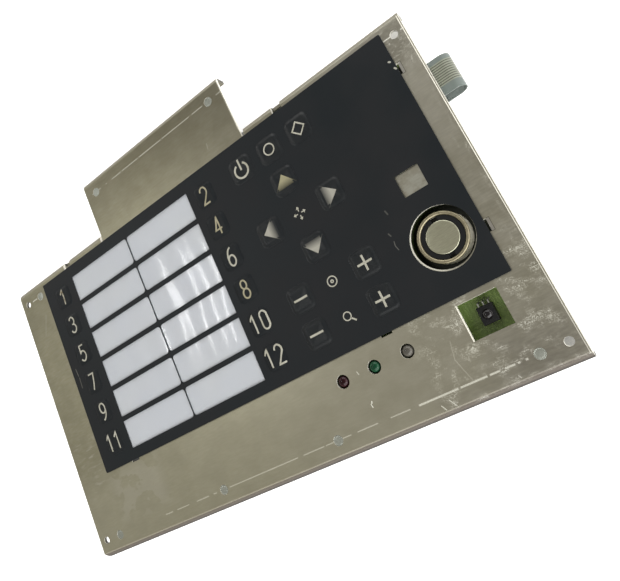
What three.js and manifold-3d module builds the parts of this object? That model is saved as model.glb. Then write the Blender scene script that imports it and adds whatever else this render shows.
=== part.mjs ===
// Keypad control panel: a folded metal plate that carries a keypad of 23 keys with twelve label
// windows, a touch reader, an infrared receiver, three lamps and the circuit board behind them.
//
// Millimetres. X runs right, Y up and Z out of the face. Places are measured from the top left
// corner of the plate's face, as on a drawing: "across" to the right, "down" to the bottom edge.
import * as THREE from "three";
import { mergeVertices } from "three/addons/utils/BufferGeometryUtils.js";
import Module from "manifold-3d";

const wasm = await Module();
wasm.setup();

// ---- Layout of the face, from left to right ---------------------------------------------------
const OVERLAY_MARGIN_LEFT = 20.6; // bare metal left of the keypad
const ODD_KEYS_INSET = 12.1; // from the keypad's edge to the odd numbers
const LABELS_AFTER_KEYS = 9.95;
const LABEL_AREA_WIDTH = 84.7;
const KEYS_AFTER_LABELS = 9.15;
const CONTROLS_AFTER_NUMBERS = 22.45;
const CONTROL_COLUMNS = 3;
const READER_AFTER_CONTROLS = 31.15;
const OVERLAY_AFTER_READER = 15.75;
const OVERLAY_MARGIN_RIGHT = 9.65;

// ---- Layout of the face, from top to bottom ---------------------------------------------------
const OVERLAY_MARGIN_TOP = 4.3;
const KEYS_BELOW_EDGE = 12.8; // from the keypad's edge to the top row
const KEY_PITCH = 16; // both ways
const KEY_ROWS = 6;
const OVERLAY_BELOW_KEYS = 12.3;
const OVERLAY_MARGIN_BOTTOM = 37.4;

// ---- Plate: 1.5 mm sheet with its top, bottom and tab edges folded back -----------------------
const PLATE_THICKNESS = 1.5;
const FLANGE_DEPTH = 7;
const BEND_RADIUS = 2.5; // outside of the fold
const TAB_LEFT = 70.4;
const TAB_WIDTH = 95.1;
const TAB_RISE = 29.05;
const RELIEF_WIDTH = 1.5; // notches beside the tab, where the folds end
const RELIEF_DEPTH = 4.4;
const CHAMFER_TOP = 1.5; // clipped left corners
const CHAMFER_BOTTOM = 2.2;
const HOLE_ROW = 8; // corner holes and studs, from each folded edge
const CORNER_HOLE_RADIUS = 1.75;
const CORNER_HOLE_INSET = 4.8;
const SLOT_LENGTH = 5; // six locating slots round the keypad
const SLOT_WIDTH = 1.7;
const SLOT_SHOWS = 0.8; // how far each one shows past the keypad's edge
const SLOT_INSET_LEFT = 20.5; // from the keypad's four edges to the slots' middles
const SLOT_INSET_RIGHT = 52.3;
const SLOT_INSET_TOP = 16.9;
const SLOT_INSET_BOTTOM = 18.2;

// ---- Press-in studs, M3 -----------------------------------------------------------------------
const STUD_RADIUS = 1.5;
const STUD_HEAD_LIP = 0.6; // the head's radius past the thread's
const STUD_LENGTH = 15; // from the plate's face to the tip
const STUD_TIP = 0.5;
const PRESS_GAP = 0.1; // drawn round what is pressed in
const TOP_LEFT_STUD_INSET = 15.6;
const BOTTOM_LEFT_STUD_INSET = 14.8;
const BOTTOM_MID_STUD_INSET = 84.7;
const TAB_STUD_FROM_LEFT = 7.1;
const TAB_STUD_FROM_RIGHT = 8.2;

// ---- Keypad -----------------------------------------------------------------------------------
const LAYER_GAP = 0.05; // glue line between the keypad's layers
const CIRCUIT_THICKNESS = 0.2;
const SPACER_THICKNESS = 0.25;
const OVERLAY_THICKNESS = 0.3;
const OVERLAY_CORNER = 0.6;
const LAYER_INSET = 0.4; // lower layers stop short of the overlay's edge
const NUMBER_KEY_WIDTH = 10.8;
const NUMBER_KEY_HEIGHT = 11.4;
const CONTROL_KEY_SIZE = 11.6;
const KEY_CORNER = 2.5;
const KEY_HEIGHT = 0.65;
const KEY_TRAVEL = 0.4;
const KEY_CLEARANCE = 0.15;
const POCKET_CLEARANCE = 0.5; // round each key in the spacer, where its dome sits
const POCKET_CLIP = 1;
const KEY_EDGE_RISE = 0.35; // straight side of a key before its rounded edge
const KEY_EDGE_ROUND = 0.9; // how far in the rounded edge reaches
const KEY_EDGE_STEPS = 2;
const KEY_CROWN = 0.03; // the middle stands this much above the rounded edge

const LABELS_LOWER = 0.15; // the windows sit this much lower than the keys beside them
const LABEL_RIB = 0.45; // dark rib between the two columns
const LABEL_HEIGHT = 13.6;
const LABEL_CORNER = 1.5; // only the corners beside the rib are round
const LABEL_MARGIN = 0.8; // cards and film reach past the windows
const CARD_THICKNESS = 0.25;
const FILM_THICKNESS = 0.2;
const CARD_CLEARANCE = 0.15;

const SQUARE_ABOVE_READER = 24.75; // middle to middle
const SQUARE_LEFT_OF_READER = 0.25;
const SQUARE_WIDTH = 10.15;
const SQUARE_HEIGHT = 9.4;

// ---- Touch reader -----------------------------------------------------------------------------
const READER_ABOVE_FOOT = 22.35; // from the keypad's bottom edge
const READER_RADIUS = 10;
const READER_WALL = 1.55;
const READER_RIM_ROUND = 0.7;
const READER_PLATE_GAP = 2.2; // bare gap round it in the plate
const READER_OVERLAY_GAP = 2.47; // and in the keypad
const OVERLAY_SLIP_LEFT = 0.1; // the overlay was stuck on slightly low and to the left
const OVERLAY_SLIP_DOWN = 0.35;
const INSULATOR_DEPTH = 0.5; // its face below the reader's rim
const INSULATOR_CLEARANCE = 0.1;
const INSULATOR_NOTCH_WIDTH = 2.4;
const INSULATOR_NOTCH_DEPTH = 1.6;
const CONTACT_RADIUS = 6.4;
const CONTACT_SEAT = 1.2; // depth of the contact's seat below the insulator's face
const CONTACT_CROWN = 0.15;
const CONTACT_PROUD = 0.1; // of the rim

// ---- Lamps and infrared receiver --------------------------------------------------------------
const LAMPS_BELOW_OVERLAY = 9.4;
const LAMPS_AFTER_COLUMN = 1.1; // from the first control column to the first lamp
const LED_PITCH = 15;
const LED_RADIUS = 2.5;
const LED_FLANGE_LIP = 0.4;
const LED_FLANGE_THICKNESS = 1;
const LED_PROUD = 0.7;
const LED_CLEARANCE = 0.35;
const LED_LEAD_PITCH = 2.54;
const LEAD_SIZE = 0.5;
const LEAD_LENGTH = 1.2; // past the board's back
const LEAD_HOLE_RADIUS = 0.5;

const IR_WINDOW_BELOW_OVERLAY = 2.5;
const IR_WINDOW_RIGHT_OF_READER = 0.25; // middle to middle
const IR_WINDOW_WIDTH = 15.85;
const IR_WINDOW_HEIGHT = 14.1;
const IR_RIGHT_OF_READER = 0.5;
const IR_BELOW_WINDOW_TOP = 7.3;
const IR_WIDTH = 6;
const IR_HEIGHT = 7;
const IR_DEPTH = 3; // its front below the plate's face
const IR_BOARD_GAP = 0.6; // its back above the board
const IR_LENS_RADIUS = 2.3;
const IR_LENS_PROUD = 1.1;
const IR_LEAD_PITCH = 2;
const IR_LEAD_REACH = 1.8; // from the body's top to the bend

// ---- Circuit board and what stands on it ------------------------------------------------------
const BOARD_DEPTH = 8; // its front below the plate's face
const BOARD_THICKNESS = 1.6;
const BOARD_BEFORE_CONTROLS = 17.7; // from its left edge to the first control column
const BOARD_MARGIN_RIGHT = 9.5; // inside the plate's edges
const BOARD_MARGIN_TOP = 4;
const BOARD_MARGIN_BOTTOM = 4;
const BOARD_STUD_INSET_LEFT = 6;
const BOARD_STUD_INSET_RIGHT = 5.6;
const BOARD_CORNER = 1.5;
const SEAT_GAP = 0.1; // between stacked hard parts
const BOLT_CLEARANCE = 0.2; // round a stud
const STANDOFF_WALL = 1.3;
const NUT_FLATS = 5.5;
const NUT_THICKNESS = 2.4;

const CHIP_SIZE = 7;
const CHIP_THICKNESS = 1.2;
const CHIP_CHAMFER = 0.3;
const CHIP_CORNER = 0.4;
const CHIP_FROM_LEFT = 49; // of the board
const CHIP_FROM_TOP = 60;
const CHIP_LEGS = 8; // on each side
const CHIP_LEG_PITCH = 0.8;
const CHIP_LEG_WIDTH = 0.35;
const CHIP_LEG_REACH = 1.1;
const CHIP_LEG_THICKNESS = 0.3;

const HOST_FROM_LEFT = 11; // of the board
const HOST_WIDTH = 6.2;
const HOST_HEIGHT = 3.6;
const HOST_WALL = 0.6;
const HOST_PINS = 10;
const HOST_PIN_PITCH = 1.6;
const HOST_END = 2.3; // from the last pin's middle to the end
const HOST_PIN_SIZE = 0.5;
const HOST_PIN_LENGTH = 4;

// ---- Flat ribbon tail -------------------------------------------------------------------------
const TAIL_WIDTH = 15;
const TAIL_THICKNESS = 0.2;
const TAIL_BELOW_EDGE = 28.2; // its middle, from the keypad's top edge
const TAIL_DROP_INSET = 3.8; // from the keypad's right edge to where it dips through the plate
const TAIL_DIP_RADIUS = 1;
const TAIL_DEPTH = 2.5; // of the run behind the plate
const TAIL_BELOW_BOARD = 0.9; // of the run behind the board
const TAIL_OVERHANG = 8.5; // how far the loop stands out past the plate
const TAIL_SLOT_WIDTH = 2.4;
const TAIL_SIDE_CLEARANCE = 0.5;
const TAIL_START = 1.6; // flat length on the keypad side of the dip
const TAIL_END_GAP = 0.3;
const TAIL_INSERTED = 3.5; // length held in the socket
const SOCKET_INSET = 11.8; // from the keypad's right edge to its middle
const SOCKET_WIDTH = 6;
const SOCKET_CHEEK = 2; // beside the tail at each end
const SOCKET_HEIGHT = 3;
const SOCKET_MOUTH_CLEARANCE = 0.25;

// ---- Smoothness -------------------------------------------------------------------------------
const BEND_STEPS = 5;
const CORNER_STEPS = 3;
const SMALL_ROUND = 16;
const READER_ROUND = 36;
const LOOP_STEPS = 16;

// ---- Places and heights worked out from the sizes above ---------------------------------------
const oddKeysAcross = OVERLAY_MARGIN_LEFT + ODD_KEYS_INSET;
const labelLeft = oddKeysAcross + LABELS_AFTER_KEYS;
const evenKeysAcross = labelLeft + LABEL_AREA_WIDTH + KEYS_AFTER_LABELS;
const controlKeysAcross = evenKeysAcross + CONTROLS_AFTER_NUMBERS;
const readerAcross = controlKeysAcross + (CONTROL_COLUMNS - 1) * KEY_PITCH + READER_AFTER_CONTROLS;
const overlayRight = readerAcross + OVERLAY_AFTER_READER;
const plateWidth = overlayRight + OVERLAY_MARGIN_RIGHT;

const topKeysDown = OVERLAY_MARGIN_TOP + KEYS_BELOW_EDGE;
const overlayFoot = topKeysDown + (KEY_ROWS - 1) * KEY_PITCH + OVERLAY_BELOW_KEYS;
const plateHeight = overlayFoot + OVERLAY_MARGIN_BOTTOM;
const readerDown = overlayFoot - READER_ABOVE_FOOT;
const bottomRow = plateHeight - HOLE_ROW;

const circuitTop = LAYER_GAP + CIRCUIT_THICKNESS;
const spacerBottom = circuitTop + LAYER_GAP;
const overlayBottom = spacerBottom + SPACER_THICKNESS + LAYER_GAP;
const keyBottom = spacerBottom + KEY_TRAVEL;
const cardTop = LAYER_GAP + CARD_THICKNESS;
const filmBottom = overlayBottom - LAYER_GAP - FILM_THICKNESS;
const boardFront = -BOARD_DEPTH;
const boardBack = boardFront - BOARD_THICKNESS;
const boardLeft = controlKeysAcross - BOARD_BEFORE_CONTROLS;
const boardRight = plateWidth - BOARD_MARGIN_RIGHT;
const studHeadRadius = STUD_RADIUS + STUD_HEAD_LIP;
const boltHoleRadius = STUD_RADIUS + BOLT_CLEARANCE;

const MATERIALS = {
  plate: { color: 0x8f8b78, roughness: 0.42, metalness: 0.9 },
  stud: { color: 0x9aa09c, roughness: 0.4, metalness: 0.9 },
  overlay: { color: 0x2b2e30, roughness: 0.55, metalness: 0 },
  key: { color: 0x24272a, roughness: 0.45, metalness: 0 },
  film: { color: 0xdfe3e6, roughness: 0.15, metalness: 0 },
  card: { color: 0xc5c8cc, roughness: 0.6, metalness: 0 },
  circuit: { color: 0x8fa5a0, roughness: 0.5, metalness: 0 },
  spacer: { color: 0xd8d4c4, roughness: 0.7, metalness: 0 },
  board: { color: 0x3d4a2a, roughness: 0.5, metalness: 0 },
  steel: { color: 0xa7a9a6, roughness: 0.35, metalness: 1 },
  rim: { color: 0xb9ad90, roughness: 0.3, metalness: 1 },
  contact: { color: 0x97937d, roughness: 0.38, metalness: 1 },
  black: { color: 0x151617, roughness: 0.45, metalness: 0 },
  cream: { color: 0xd9d2bd, roughness: 0.6, metalness: 0 },
  red: { color: 0x3a1018, roughness: 0.2, metalness: 0 },
  green: { color: 0x1f5a38, roughness: 0.2, metalness: 0 },
  clear: { color: 0x6b6862, roughness: 0.15, metalness: 0 },
};

const panel = new THREE.Group();

function piece(name, geometry, finish, across = 0, down = 0, height = 0) {
  const mesh = new THREE.Mesh(geometry, new THREE.MeshStandardMaterial(MATERIALS[finish]));
  mesh.name = name;
  mesh.position.set(across, -down, height);
  panel.add(mesh);
  return mesh;
}

// ---- Solids: joining, cutting, and back to a drawn mesh ---------------------------------------
function toSolid(geometry) {
  const bare = geometry.clone();
  bare.deleteAttribute("normal");
  bare.deleteAttribute("uv");
  const merged = mergeVertices(bare, 1e-4);
  return new wasm.Manifold(
    new wasm.Mesh({
      numProp: 3,
      vertProperties: merged.attributes.position.array,
      triVerts: new Uint32Array(merged.index.array),
    }),
  );
}

function toGeometry(solid) {
  const mesh = solid.getMesh();
  const geometry = new THREE.BufferGeometry();
  geometry.setAttribute("position", new THREE.BufferAttribute(mesh.vertProperties, 3));
  geometry.setIndex(new THREE.BufferAttribute(mesh.triVerts, 1));
  geometry.computeVertexNormals();
  return geometry;
}

const joined = (geometries) =>
  toGeometry(geometries.map(toSolid).reduce((whole, next) => whole.add(next)));

const cut = (geometry, cutters) =>
  toGeometry(cutters.map(toSolid).reduce((rest, next) => rest.subtract(next), toSolid(geometry)));

// ---- Basic forms ------------------------------------------------------------------------------
function block(left, top, width, height, bottom, upper) {
  const box = new THREE.BoxGeometry(width, height, upper - bottom);
  return box.translate(left + width / 2, -top - height / 2, (bottom + upper) / 2);
}

function disc(across, down, radius, bottom, upper, sides) {
  const round = new THREE.CylinderGeometry(radius, radius, upper - bottom, sides);
  return round.rotateX(Math.PI / 2).translate(across, -down, (bottom + upper) / 2);
}

// A turned piece: profile points are [radius, height], listed from the bottom up the outside.
function turned(profile, sides) {
  const points = profile.map(([radius, height]) => new THREE.Vector2(radius, height));
  return new THREE.LatheGeometry(points, sides).rotateX(Math.PI / 2);
}

// Points of an arc, angles in quarter turns, both ends included.
function arc(centreX, centreY, radius, from, to, steps) {
  return Array.from({ length: steps + 1 }, (_, step) => {
    const angle = ((from + ((to - from) * step) / steps) * Math.PI) / 2;
    return [centreX + radius * Math.cos(angle), centreY + radius * Math.sin(angle)];
  });
}

// A rectangle whose four corners, from the lower right one round to the left, may be rounded.
function outline(left, top, width, height, radii) {
  const right = left + width;
  const upper = -top;
  const lower = -top - height;
  const [lowerRight, upperRight, upperLeft, lowerLeft] = radii;
  const corner = (x, y, radius, quarter, inX, inY) =>
    radius > 0
      ? arc(x + inX * radius, y + inY * radius, radius, quarter, quarter + 1, CORNER_STEPS)
      : [[x, y]];
  return [
    ...corner(right, lower, lowerRight, 3, -1, 1),
    ...corner(right, upper, upperRight, 0, -1, -1),
    ...corner(left, upper, upperLeft, 1, 1, -1),
    ...corner(left, lower, lowerLeft, 2, 1, 1),
  ];
}

const roundedBox = (left, top, width, height, radius) =>
  outline(left, top, width, height, [radius, radius, radius, radius]);

const around = (across, down, width, height, radius, extra = 0) =>
  roundedBox(
    across - width / 2 - extra,
    down - height / 2 - extra,
    width + 2 * extra,
    height + 2 * extra,
    radius + extra,
  );

const circle = (across, down, radius, sides) => arc(across, -down, radius, 0, 4, sides).slice(0, -1);

const toVectors = (points) => points.map(([x, y]) => new THREE.Vector2(x, y));

// A flat outline from one height to another.
function prism(edge, bottom, upper) {
  const shape = new THREE.Shape(toVectors(edge));
  const geometry = new THREE.ExtrudeGeometry(shape, { depth: upper - bottom, bevelEnabled: false });
  return geometry.translate(0, 0, bottom);
}

// A flat sheet with holes. They are cut as solids, so that they may meet each other or the edge.
function sheet(edge, holes, bottom, upper) {
  const cutters = holes.map((hole) => prism(hole, bottom - 1, upper + 1));
  return cut(prism(edge, bottom, upper), cutters);
}

// A closed skin through rings of equal point counts, each [points, height], crowned at the top.
function loft(rings, crown) {
  const count = rings[0][0].length;
  const positions = rings.flatMap(([points, height]) => points.flatMap(([x, y]) => [x, y, height]));
  const centreOf = (points) => {
    const sum = points.reduce(([a, b], [x, y]) => [a + x, b + y], [0, 0]);
    return sum.map((value) => value / count);
  };
  const [lowPoints, lowHeight] = rings[0];
  const [highPoints, highHeight] = rings[rings.length - 1];
  positions.push(...centreOf(lowPoints), lowHeight, ...centreOf(highPoints), highHeight + crown);
  const lowCentre = rings.length * count;
  const faces = [];
  for (let i = 0; i < count; i += 1) {
    const next = (i + 1) % count;
    const last = (rings.length - 1) * count;
    faces.push(lowCentre, next, i, lowCentre + 1, last + i, last + next);
    for (let ring = 0; ring < rings.length - 1; ring += 1) {
      const low = ring * count;
      const high = low + count;
      faces.push(low + i, low + next, high + next, low + i, high + next, high + i);
    }
  }
  const geometry = new THREE.BufferGeometry();
  geometry.setAttribute("position", new THREE.Float32BufferAttribute(positions, 3));
  geometry.setIndex(faces);
  geometry.computeVertexNormals();
  return geometry;
}

// ---- Plate ------------------------------------------------------------------------------------
// Sheet from the free edge to a folded edge, with its flange, drawn from the side and run along X.
function foldedStrip(left, right, foldDown, freeDown) {
  const fold = -foldDown;
  const free = -freeDown;
  const inward = Math.sign(free - fold);
  const centre = fold + inward * BEND_RADIUS;
  const turn = inward > 0 ? 2 : 0;
  const innerRadius = BEND_RADIUS - PLATE_THICKNESS;
  const profile = [
    [free, 0],
    ...arc(centre, -BEND_RADIUS, BEND_RADIUS, 1, turn, BEND_STEPS),
    [fold, -FLANGE_DEPTH],
    [fold + inward * PLATE_THICKNESS, -FLANGE_DEPTH],
    ...arc(centre, -BEND_RADIUS, innerRadius, turn, 1, BEND_STEPS),
    [free, -PLATE_THICKNESS],
  ];
  const strip = new THREE.ExtrudeGeometry(new THREE.Shape(toVectors(profile)), {
    depth: right - left,
    bevelEnabled: false,
  });
  const sideways = new THREE.Matrix4().makeBasis(
    new THREE.Vector3(0, 1, 0),
    new THREE.Vector3(0, 0, 1),
    new THREE.Vector3(1, 0, 0),
  );
  return strip.applyMatrix4(sideways).translate(left, 0, 0);
}

// Clips a corner of the plate square to its face, flange included.
function cornerCutter(across, down, size, downward) {
  const over = 1;
  const y = -down;
  const points = [
    [across - over, y + downward * over],
    [across + size + over, y + downward * over],
    [across - over, y - downward * (size + over)],
  ];
  return prism(points, -FLANGE_DEPTH - over, over);
}

const studPlaces = {
  stud_top_left: [TOP_LEFT_STUD_INSET, HOLE_ROW],
  stud_bottom_left: [BOTTOM_LEFT_STUD_INSET, bottomRow],
  stud_bottom_mid: [BOTTOM_MID_STUD_INSET, bottomRow],
  stud_board_top_left: [boardLeft + BOARD_STUD_INSET_LEFT, HOLE_ROW],
  stud_board_top_right: [boardRight - BOARD_STUD_INSET_RIGHT, HOLE_ROW],
  stud_board_bottom_left: [boardLeft + BOARD_STUD_INSET_LEFT, bottomRow],
  stud_board_bottom_right: [boardRight - BOARD_STUD_INSET_RIGHT, bottomRow],
  stud_tab_left: [TAB_LEFT + TAB_STUD_FROM_LEFT, HOLE_ROW - TAB_RISE],
  stud_tab_right: [TAB_LEFT + TAB_WIDTH - TAB_STUD_FROM_RIGHT, HOLE_ROW - TAB_RISE],
};
const boardStudPlaces = Object.entries(studPlaces)
  .filter(([name]) => name.startsWith("stud_board"))
  .map(([, place]) => place);
const ledPlaces = [0, 1, 2].map((index) => [
  controlKeysAcross + LAMPS_AFTER_COLUMN + index * LED_PITCH,
  overlayFoot + LAMPS_BELOW_OVERLAY,
]);
const irWindowTop = overlayFoot + IR_WINDOW_BELOW_OVERLAY;
const tailDown = OVERLAY_MARGIN_TOP + TAIL_BELOW_EDGE;
const tailDrop = overlayRight - TAIL_DROP_INSET;

// Opening for the ribbon tail, from one place across to another.
const tailPassage = (left, right) =>
  roundedBox(
    left,
    tailDown - TAIL_WIDTH / 2 - TAIL_SIDE_CLEARANCE,
    right - left,
    TAIL_WIDTH + 2 * TAIL_SIDE_CLEARANCE,
    0,
  );

function buildPlate() {
  const tabRight = TAB_LEFT + TAB_WIDTH;
  const middle = plateHeight / 2;
  const plate = joined([
    foldedStrip(0, plateWidth, plateHeight, RELIEF_DEPTH),
    foldedStrip(0, TAB_LEFT - RELIEF_WIDTH, 0, middle),
    foldedStrip(tabRight + RELIEF_WIDTH, plateWidth, 0, middle),
    foldedStrip(TAB_LEFT, tabRight, -TAB_RISE, middle),
  ]);
  const low = -BEND_RADIUS - PLATE_THICKNESS / 2;
  const high = 1;
  const hole = (across, down, radius) => disc(across, down, radius, low, high, SMALL_ROUND);
  const slot = (left, top, width, height) => block(left, top, width, height, low, high);
  const slotsAcross = [
    OVERLAY_MARGIN_LEFT + SLOT_INSET_LEFT - SLOT_LENGTH / 2,
    overlayRight - SLOT_INSET_RIGHT - SLOT_LENGTH / 2,
  ];
  const slotsDown = [
    OVERLAY_MARGIN_TOP + SLOT_INSET_TOP - SLOT_LENGTH / 2,
    overlayFoot - SLOT_INSET_BOTTOM - SLOT_LENGTH / 2,
  ];
  const hidden = SLOT_WIDTH - SLOT_SHOWS;
  const topSlotWidth = high + OVERLAY_MARGIN_TOP + hidden;
  const cutters = [
    ...[CORNER_HOLE_INSET, plateWidth - CORNER_HOLE_INSET].flatMap((x) =>
      [HOLE_ROW, bottomRow].map((y) => hole(x, y, CORNER_HOLE_RADIUS)),
    ),
    ...Object.values(studPlaces).map(([x, y]) => hole(x, y, studHeadRadius + PRESS_GAP)),
    ...ledPlaces.map(([x, y]) => hole(x, y, LED_RADIUS + LED_CLEARANCE)),
    disc(readerAcross, readerDown, READER_RADIUS + READER_PLATE_GAP, low, high, READER_ROUND),
    slot(
      readerAcross + IR_WINDOW_RIGHT_OF_READER - IR_WINDOW_WIDTH / 2,
      irWindowTop,
      IR_WINDOW_WIDTH,
      IR_WINDOW_HEIGHT,
    ),
    prism(tailPassage(tailDrop - TAIL_SLOT_WIDTH / 2, tailDrop + TAIL_SLOT_WIDTH / 2), low, high),
    ...slotsAcross.map((x) => slot(x, -high, SLOT_LENGTH, topSlotWidth)),
    ...slotsAcross.map((x) => slot(x, overlayFoot - hidden, SLOT_LENGTH, SLOT_WIDTH)),
    ...slotsDown.map((y) => slot(overlayRight - hidden, y, SLOT_WIDTH, SLOT_LENGTH)),
    cornerCutter(0, 0, CHAMFER_TOP, 1),
    cornerCutter(0, plateHeight, CHAMFER_BOTTOM, -1),
  ];
  return cut(plate, cutters);
}

piece("panel_plate", buildPlate(), "plate");

const studGeometry = turned(
  [
    [0, -STUD_LENGTH],
    [STUD_RADIUS - STUD_TIP, -STUD_LENGTH],
    [STUD_RADIUS, -STUD_LENGTH + STUD_TIP],
    [STUD_RADIUS, -PLATE_THICKNESS],
    [studHeadRadius, -PLATE_THICKNESS],
    [studHeadRadius, 0],
    [0, 0],
  ],
  SMALL_ROUND,
);
for (const [name, [across, down]] of Object.entries(studPlaces)) {
  piece(name, studGeometry, "stud", across, down);
}

// ---- Keys -------------------------------------------------------------------------------------
const rowDown = (row) => topKeysDown + row * KEY_PITCH;
const controlAcross = (column) => controlKeysAcross + column * KEY_PITCH;
const numberKeys = Array.from({ length: KEY_ROWS * 2 }, (_, index) => ({
  name: `key_${index + 1}`,
  across: index % 2 ? evenKeysAcross : oddKeysAcross,
  down: rowDown(Math.floor(index / 2)),
  width: NUMBER_KEY_WIDTH,
  height: NUMBER_KEY_HEIGHT,
}));
const controlKeys = Object.entries({
  key_power: [0, 0],
  key_function_a: [1, 0],
  key_function_b: [2, 0],
  key_up: [1, 1],
  key_left: [0, 2],
  key_right: [2, 2],
  key_down: [1, 3],
  key_focus_minus: [0, 4],
  key_focus_plus: [2, 4],
  key_zoom_minus: [0, 5],
  key_zoom_plus: [2, 5],
}).map(([name, [column, row]]) => ({
  name,
  across: controlAcross(column),
  down: rowDown(row),
  width: CONTROL_KEY_SIZE,
  height: CONTROL_KEY_SIZE,
}));
const keys = [...numberKeys, ...controlKeys];

// A key's pillow: straight side, then a rounded edge, then a nearly flat top.
function keyPillow(width, height) {
  const ring = (inset, level) => [around(0, 0, width, height, KEY_CORNER, -inset), level];
  const round = KEY_HEIGHT - KEY_CROWN - KEY_EDGE_RISE;
  const edge = Array.from({ length: KEY_EDGE_STEPS }, (_, step) => {
    const angle = ((step + 1) / KEY_EDGE_STEPS) * (Math.PI / 2);
    return ring(
      KEY_EDGE_ROUND * (1 - Math.cos(angle)),
      KEY_EDGE_RISE + round * Math.sin(angle),
    );
  });
  return loft([ring(0, 0), ring(0, KEY_EDGE_RISE), ...edge], KEY_CROWN);
}

for (const key of keys) {
  piece(key.name, keyPillow(key.width, key.height), "key", key.across, key.down, keyBottom);
}

// ---- Keypad layers ----------------------------------------------------------------------------
const labelColumnWidth = (LABEL_AREA_WIDTH - LABEL_RIB) / 2;
const labelColumns = [labelLeft, labelLeft + labelColumnWidth + LABEL_RIB];
const labelTop = topKeysDown + LABELS_LOWER - LABEL_HEIGHT / 2;
const labelAreaHeight = (KEY_ROWS - 1) * KEY_PITCH + LABEL_HEIGHT;
const labelRows = Array.from({ length: KEY_ROWS }, (_, row) => labelTop + row * KEY_PITCH);

const labelWindows = labelRows.flatMap((top) => [
  outline(labelColumns[0], top, labelColumnWidth, LABEL_HEIGHT, [LABEL_CORNER, LABEL_CORNER, 0, 0]),
  outline(labelColumns[1], top, labelColumnWidth, LABEL_HEIGHT, [0, 0, LABEL_CORNER, LABEL_CORNER]),
]);

// The opening in the lower layers that the cards and the film lie in.
const labelBay = (inset) =>
  roundedBox(
    labelLeft - LABEL_MARGIN + inset,
    labelTop - LABEL_MARGIN + inset,
    LABEL_AREA_WIDTH + 2 * (LABEL_MARGIN - inset),
    labelAreaHeight + 2 * (LABEL_MARGIN - inset),
    0,
  );

const square = (extra) =>
  around(
    readerAcross - SQUARE_LEFT_OF_READER,
    readerDown - SQUARE_ABOVE_READER,
    SQUARE_WIDTH + 2 * extra,
    SQUARE_HEIGHT + 2 * extra,
    0,
  );

const readerHole = (extra) =>
  circle(
    readerAcross - OVERLAY_SLIP_LEFT,
    readerDown + OVERLAY_SLIP_DOWN,
    READER_RADIUS + READER_OVERLAY_GAP + extra,
    READER_ROUND,
  );

const keyHoles = (clearance) =>
  keys.map((key) => around(key.across, key.down, key.width, key.height, KEY_CORNER, clearance));

// Pockets under the keys, die-cut with clipped corners.
function keyPockets() {
  return keys.map(({ across, down, width, height }) => {
    const halfWidth = width / 2 + POCKET_CLEARANCE;
    const halfHeight = height / 2 + POCKET_CLEARANCE;
    return [[1, 1], [-1, 1], [-1, -1], [1, -1]].flatMap(([sideX, sideY]) => {
      const x = across + sideX * halfWidth;
      const y = -down + sideY * halfHeight;
      const clips = [[x, y - sideY * POCKET_CLIP], [x - sideX * POCKET_CLIP, y]];
      return sideX * sideY > 0 ? clips : clips.reverse();
    });
  });
}

const keypadEdge = (inset) =>
  roundedBox(
    OVERLAY_MARGIN_LEFT + inset,
    OVERLAY_MARGIN_TOP + inset,
    overlayRight - OVERLAY_MARGIN_LEFT - 2 * inset,
    overlayFoot - OVERLAY_MARGIN_TOP - 2 * inset,
    OVERLAY_CORNER,
  );

// The lower layers are cut away round the start of the ribbon tail.
const tailStart = tailDrop - TAIL_DIP_RADIUS - TAIL_START;
const tailOpening = tailPassage(tailStart - TAIL_END_GAP, tailDrop + TAIL_SLOT_WIDTH / 2);

piece(
  "circuit_layer",
  sheet(
    keypadEdge(LAYER_INSET),
    [labelBay(0), square(LAYER_INSET), readerHole(LAYER_INSET), tailOpening],
    LAYER_GAP,
    circuitTop,
  ),
  "circuit",
);
piece(
  "spacer_layer",
  sheet(
    keypadEdge(LAYER_INSET),
    [labelBay(0), square(LAYER_INSET), readerHole(LAYER_INSET), tailOpening, ...keyPockets()],
    spacerBottom,
    spacerBottom + SPACER_THICKNESS,
  ),
  "spacer",
);
piece(
  "keypad_overlay",
  sheet(
    keypadEdge(0),
    [...labelWindows, square(0), readerHole(0), ...keyHoles(KEY_CLEARANCE)],
    overlayBottom,
    overlayBottom + OVERLAY_THICKNESS,
  ),
  "overlay",
);

const cardHeight = labelAreaHeight + 2 * (LABEL_MARGIN - CARD_CLEARANCE);
const cardTopDown = labelTop - LABEL_MARGIN + CARD_CLEARANCE;
const cardMeets = labelLeft + LABEL_AREA_WIDTH / 2;
const cardWidth = LABEL_AREA_WIDTH / 2 + LABEL_MARGIN - CARD_CLEARANCE - CARD_CLEARANCE / 2;
for (const [name, left] of [
  ["label_card_left", labelLeft - LABEL_MARGIN + CARD_CLEARANCE],
  ["label_card_right", cardMeets + CARD_CLEARANCE / 2],
]) {
  const edge = roundedBox(left, cardTopDown, cardWidth, cardHeight, 0);
  piece(name, prism(edge, LAYER_GAP, cardTop), "card");
}
piece(
  "label_window_film",
  prism(labelBay(CARD_CLEARANCE), filmBottom, filmBottom + FILM_THICKNESS),
  "film",
);

// ---- Touch reader: metal cup, insulator and centre contact ------------------------------------
const readerBore = READER_RADIUS - READER_WALL;
const readerFoot = boardFront + SEAT_GAP;
piece(
  "reader_shell",
  turned(
    [
      [readerBore, readerFoot],
      [READER_RADIUS, readerFoot],
      ...arc(
        READER_RADIUS - READER_RIM_ROUND,
        -READER_RIM_ROUND,
        READER_RIM_ROUND,
        0,
        1,
        CORNER_STEPS,
      ),
      ...arc(readerBore + READER_RIM_ROUND, -READER_RIM_ROUND, READER_RIM_ROUND, 1, 2, CORNER_STEPS),
      [readerBore, readerFoot],
    ],
    READER_ROUND,
  ),
  "rim",
  readerAcross,
  readerDown,
);

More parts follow.
